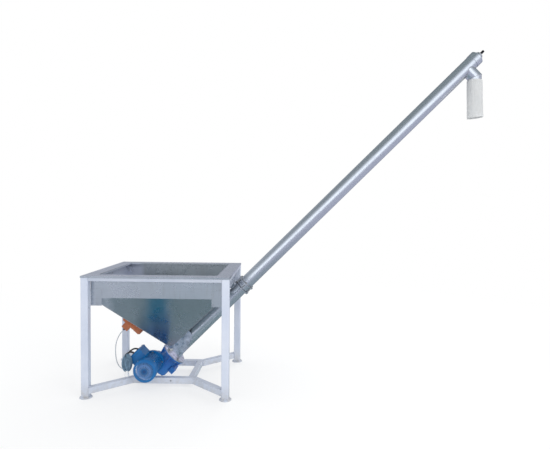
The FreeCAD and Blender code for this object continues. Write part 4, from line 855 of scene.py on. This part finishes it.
def coil_turn(number):
    """One closed turn inside the coil of spare cable; the turns lie in four nested sizes."""
    shrink = 9 * (number % 4 + 1)
    wide, tall = COIL_WIDE - shrink, COIL_TALL - shrink * 1.1
    lean = 0.05 * math.sin(number * 2.3)
    depth = -16 + 2.9 * number
    loop = []
    for step in range(40):
        angle = math.tau * step / 40
        wander = 1 + 0.03 * math.sin(3 * angle + number)
        across, up = wide * math.cos(angle) * wander, tall * math.sin(angle) * wander
        loop.append(COIL_HUB + Vector((across + lean * up, depth, up - lean * across)) * MM)
    return sweep(loop, 4.2, sides=10, closed=True)


def cable_details():
    """Inner turns that fill the coil of spare cable, its ties, and black sleeves up to the terminal box."""
    turns = [coil_turn(number) for number in range(12)]
    piece("cable_coil_turns", turns, FINISH["grey_cable"])
    ties = []
    for height in (-72, 72):
        seat = placed(COIL_HUB + Z * height * MM, Y, X)
        band = [spot(seat, x, y, 0) for x, y in rounded(27, 12, 6)]
        ties.append(sweep(band, 2.2, sides=6, closed=True))
    piece("cable_ties", ties, FINISH["black_plastic"])
    sleeves = [sweep(smooth_path([near_middle(*point) for point in arc]), 7, sides=14)
               for arc in CABLE_SLEEVES]
    piece("cable_sleeves", sleeves, FINISH["rubber"])


def smooth_path(corners, steps=8):
    """A Catmull-Rom curve through the corners."""
    path = []
    ends = [corners[0] * 2 - corners[1]] + list(corners) + [corners[-1] * 2 - corners[-2]]
    for before, start, stop, after in zip(ends, ends[1:], ends[2:], ends[3:]):
        slope = stop - before
        bend = 2 * before - 5 * start + 4 * stop - after
        twist = 3 * start - before - 3 * stop + after
        for step in range(steps):
            t = step / steps
            path.append(0.5 * (2 * start + slope * t + bend * t ** 2 + twist * t ** 3))
    return path + [corners[-1]]


def plates():
    """Blank riveted plates on the drive, a hatch plate on the inlet housing and the gearbox's plug."""
    shapes = []
    drive = ("motor_frame", "motor_flange", "gearbox_housing")
    for x, y, z, half_long, half_tall in ((-83, -90, 212, 15, 10), (-95, -90, 185, 9, 6)):
        seat = on_surface(drive, near_middle(x, y, z))
        shapes.append(prism(seat, rounded(half_long, half_tall, 1.5), -2.5, 0.9, 0.3))
        for side in (-1, 1):
            shapes.append(lathe(moved(seat, side * (half_long - 3), 0, 0.8),
                                [(0, 0), (1.4, 0), (1.1, 0.7), (0, 0.9)], 12))
    hatch = on_surface(("inlet_housing",), near_middle(26, -64, 273))
    shapes.append(prism(hatch, rounded(15, 11, 2), -0.5, 1.4, 0.5))
    piece("data_plates", shapes, FINISH["fasteners"])
    plug = on_surface(("gearbox_housing",), near_middle(-50, -90, 178))
    collar = lathe(plug, [(0, -2), (9, -2), (9, 2), (6.5, 3), (0, 3)], 24)
    piece("gearbox_plug", [collar, prism(plug, hexagon(5.5), 3, 7, 0.8)],
          FINISH["black_steel"])


# ------------------------------------------------------------------ discharge sleeve


AROUND, ROWS = 120, 64
HEM_SHARE, NECK_SHARE = 0.09, 0.14


def sleeve_point(share, angle, radius, length):
    """A point of the fabric in millimetres; share runs from 0 at the hem to 1 at the spout."""
    fallen = 1 - share
    gather = max(0.0, (share - (1 - NECK_SHARE)) / NECK_SHARE)
    folds = 1.6 * math.cos(3 * angle + 0.7) + 0.8 * math.cos(5 * angle + 2)
    pleats = 1.2 * math.cos(14 * angle + 1)
    size = radius - 2.5 - 3.5 * gather + folds * (0.3 + fallen) * (1 - gather) + pleats * gather
    if share < HEM_SHARE:
        size += 0.9
    across = size * math.cos(angle) * (1 + 0.09 * fallen)
    deep = size * math.sin(angle) * (1 - 0.22 * fallen)
    rise = 15 * fallen * (math.cos(angle) + 1) / 2
    return across + 9 * fallen, deep, length * share + rise


def build_sleeve():
    """A thin fabric tube gathered at the spout, hung and folded by the cloth solver."""
    low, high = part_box("discharge_sleeve")
    middle = (low + high) / 2
    radius = (high.x - low.x) / 2 / MM
    length = (high.z - low.z) / MM
    place = Matrix.Translation((middle.x, middle.y, low.z))
    points = [spot(place, *sleeve_point(row / ROWS, math.tau * step / AROUND, radius, length))
              for row in range(ROWS + 1) for step in range(AROUND)]
    faces = []
    for row in range(ROWS):
        for step in range(AROUND):
            following = (step + 1) % AROUND
            here, above = row * AROUND, (row + 1) * AROUND
            faces.append([here + step, here + following, above + following, above + step])
    mesh = bpy.data.meshes.new("fabric_sleeve")
    mesh.from_pydata(points, [], faces)
    sleeve = bpy.data.objects.new("fabric_sleeve", mesh)
    bpy.context.scene.collection.objects.link(sleeve)
    held = sleeve.vertex_groups.new(name="held")
    held.add(list(range(int(ROWS * 0.93) * AROUND, (ROWS + 1) * AROUND)), 1.0, "REPLACE")
    hang_cloth(sleeve)
    thicken(sleeve)
    mesh.shade_smooth()
    mesh.materials.append(FINISH["sleeve_fabric"])
    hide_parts("discharge_sleeve")
    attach(sleeve, "frame")


HANG_STEPS = 40
HANG_LIMIT = 9 * MM


def hang_cloth(sleeve):
    """Let the sleeve hang from its pinned neck with a light drift to the right; no point goes far."""
    scene = bpy.context.scene
    gravity = tuple(scene.gravity)
    scene.gravity = (0.35, 0.0, -9.81)
    cloth = sleeve.modifiers.new("hang", "CLOTH")
    settings = cloth.settings
    settings.quality = 6
    settings.mass = 0.12
    settings.tension_stiffness = 25
    settings.compression_stiffness = 25
    settings.shear_stiffness = 12
    settings.bending_stiffness = 0.4
    settings.use_pressure = True
    settings.uniform_pressure_force = 0.12
    settings.vertex_group_mass = "held"
    settings.shrink_min = 0.012
    cloth.point_cache.frame_start = 1
    cloth.point_cache.frame_end = HANG_STEPS
    for step in range(1, HANG_STEPS + 1):
        scene.frame_set(step)
    shaped = sleeve.evaluated_get(bpy.context.evaluated_depsgraph_get()).to_mesh()
    for vertex, shape in zip(sleeve.data.vertices, shaped.vertices):
        shift = shape.co - vertex.co
        vertex.co = vertex.co + shift * min(1.0, HANG_LIMIT / max(shift.length, 1e-9))
    sleeve.to_mesh_clear()
    sleeve.modifiers.remove(cloth)
    scene.frame_set(1)
    scene.gravity = gravity


def thicken(sleeve):
    """Give the fabric its thickness as real geometry."""
    solid = sleeve.modifiers.new("thickness", "SOLIDIFY")
    solid.thickness = 0.9 * MM
    solid.offset = -1
    smooth = sleeve.modifiers.new("smooth", "SUBSURF")
    smooth.levels = 1
    smooth.render_levels = 1


# ------------------------------------------------------------------ stage


def make_floor():
    """A pale floor that fades into the backdrop. Metal sees a painted reflection in it: dark nearby and lilac grey
    further out, with a blue strip that paints the drive's blue into the hopper cone and a light streak under the
    hopper's front."""
    made = Shader("pale_floor")
    away = made.vectors("SUBTRACT", made.place, tuple(MIDDLE))
    length = made.node("ShaderNodeVectorMath", operation="LENGTH")
    made.feed(length.inputs[0], away)
    distance = made.maths("DIVIDE", length.outputs["Value"], FLOOR_REACH)
    matt = made.node("ShaderNodeBsdfDiffuse")
    matt.inputs["Color"].default_value = (0.93, 0.94, 0.95, 1)
    glow = made.node("ShaderNodeEmission")
    near = made.blend(made.ramp(distance, (0.07, 0.60), (0.28, 1.0)), matt.outputs[0], glow.outputs[0])
    mirrored = made.node("ShaderNodeEmission")
    # Painted reflection: the colours that only glossy rays see in the floor.
    painted_reflection_tone = made.ramp(distance, (0.03, (0.20, 0.28, 0.31)), (0.07, (0.27, 0.33, 0.38)),
                       (0.14, (0.44, 0.46, 0.57)))
    across = made.part("X", away)
    blue_reflection_strip = made.ramp(made.maths("ADD", across, 0.33), (0.0, 0.0), (0.03, 1.0), (0.205, 1.0), (0.215, 0.0))
    reflected_light_streak = made.ramp(made.maths("ADD", across, 0.115), (0.0, 0.0), (0.012, 0.5), (0.03, 0.0))
    shade = made.maths("LESS_THAN", made.part("Y", away), 0.25)
    painted_reflection_tone = made.mix(made.maths("MULTIPLY", blue_reflection_strip, shade), painted_reflection_tone, (0.0, 0.17, 0.27))
    made.feed(mirrored.inputs["Color"], made.mix(reflected_light_streak, painted_reflection_tone, (0.85, 0.90, 0.95)))
    rays = made.node("ShaderNodeLightPath")
    made.close(made.blend(rays.outputs["Is Glossy Ray"], near, mirrored.outputs[0]))
    edge = [math.tau * step / 48 for step in range(48)]
    corners = [MIDDLE + FLOOR_REACH * Vector((math.cos(angle), math.sin(angle), 0)) for angle in edge]
    mesh = bpy.data.meshes.new("floor")
    mesh.from_pydata(corners, [], [list(range(48))])
    mesh.materials.append(made.material)
    floor = bpy.data.objects.new("floor", mesh)
    bpy.context.scene.collection.objects.link(floor)


def make_world():
    """White for the eye and for soft light. Metal sees a bright front wall and a dark ceiling."""
    made = Shader("studio", bpy.data.worlds, "Generated")
    lift = made.maths("ADD", made.maths("MULTIPLY", made.part("Z"), 0.5), 0.5)
    room = made.ramp(lift, (0.50, (0.42, 0.44, 0.52)), (0.62, (0.52, 0.54, 0.62)),
                     (0.76, (0.38, 0.42, 0.47)), (0.88, (0.20, 0.24, 0.26)), (1.0, (0.20, 0.25, 0.26)))
    front = made.maths("MULTIPLY", made.part("Y"), -1.0)
    band = made.maths("MULTIPLY", made.ramp(front, (0.45, 0.0), (0.9, 1.0)),
                      made.ramp(lift, (0.45, 1.0), (0.62, 0.9), (0.80, 0.0)))
    room = made.mix(band, room, (1.35, 1.42, 1.5))
    seen = made.node("ShaderNodeBackground")
    seen.inputs["Color"].default_value = (1, 1, 1, 1)
    mirrored = made.node("ShaderNodeBackground")
    made.feed(mirrored.inputs["Color"], room)
    rays = made.node("ShaderNodeLightPath")
    light = made.blend(rays.outputs["Is Glossy Ray"], seen.outputs[0], mirrored.outputs[0])
    bpy.context.scene.world = made.close(light, "ShaderNodeOutputWorld")


def area_light(name, place, size, power):
    """A square soft box that looks at the middle of the machine."""
    light = bpy.data.lights.new(name, "AREA")
    light.size = size
    light.energy = power
    holder = bpy.data.objects.new(name, light)
    holder.location = MIDDLE + Vector(place)
    aim = MIDDLE + Vector((0.8, 0, 1.0)) - holder.location
    holder.rotation_mode = "QUATERNION"
    holder.rotation_quaternion = aim.to_track_quat("-Z", "Y")
    holder.visible_glossy = False
    bpy.context.scene.collection.objects.link(holder)


def make_lights():
    """A soft key from the front right and a soft light from behind."""
    area_light("key_softbox", (4.2, -4.8, 4.0), 2.6, 70)
    area_light("back_softbox", (2.5, 5.5, 4.0), 2.6, 60)


def make_camera():
    """The eye stands in front of the machine, to the right of the hopper, and looks almost level."""
    eye = MIDDLE + Vector((1.03, -4.106, 1.555))
    left_turn, down_tilt, roll = (math.radians(angle) for angle in (1.09, 1.99, 0.54))
    camera = bpy.data.cameras.new("camera")
    camera.sensor_width = 36
    camera.lens = 29.78
    holder = bpy.data.objects.new("camera", camera)
    turn = (Matrix.Rotation(left_turn, 4, "Z") @ Matrix.Rotation(math.pi / 2 - down_tilt, 4, "X")
            @ Matrix.Rotation(roll, 4, "Z"))
    holder.matrix_world = Matrix.Translation(eye) @ turn
    bpy.context.scene.collection.objects.link(holder)
    bpy.context.scene.camera = holder


paint_nodes()
frame_welds()
hopper_welds()
tube_welds()
motor_details()
cable_details()
plates()
build_sleeve()
make_floor()
make_world()
make_lights()
make_camera()
bpy.context.scene.view_settings.view_transform = "Standard"
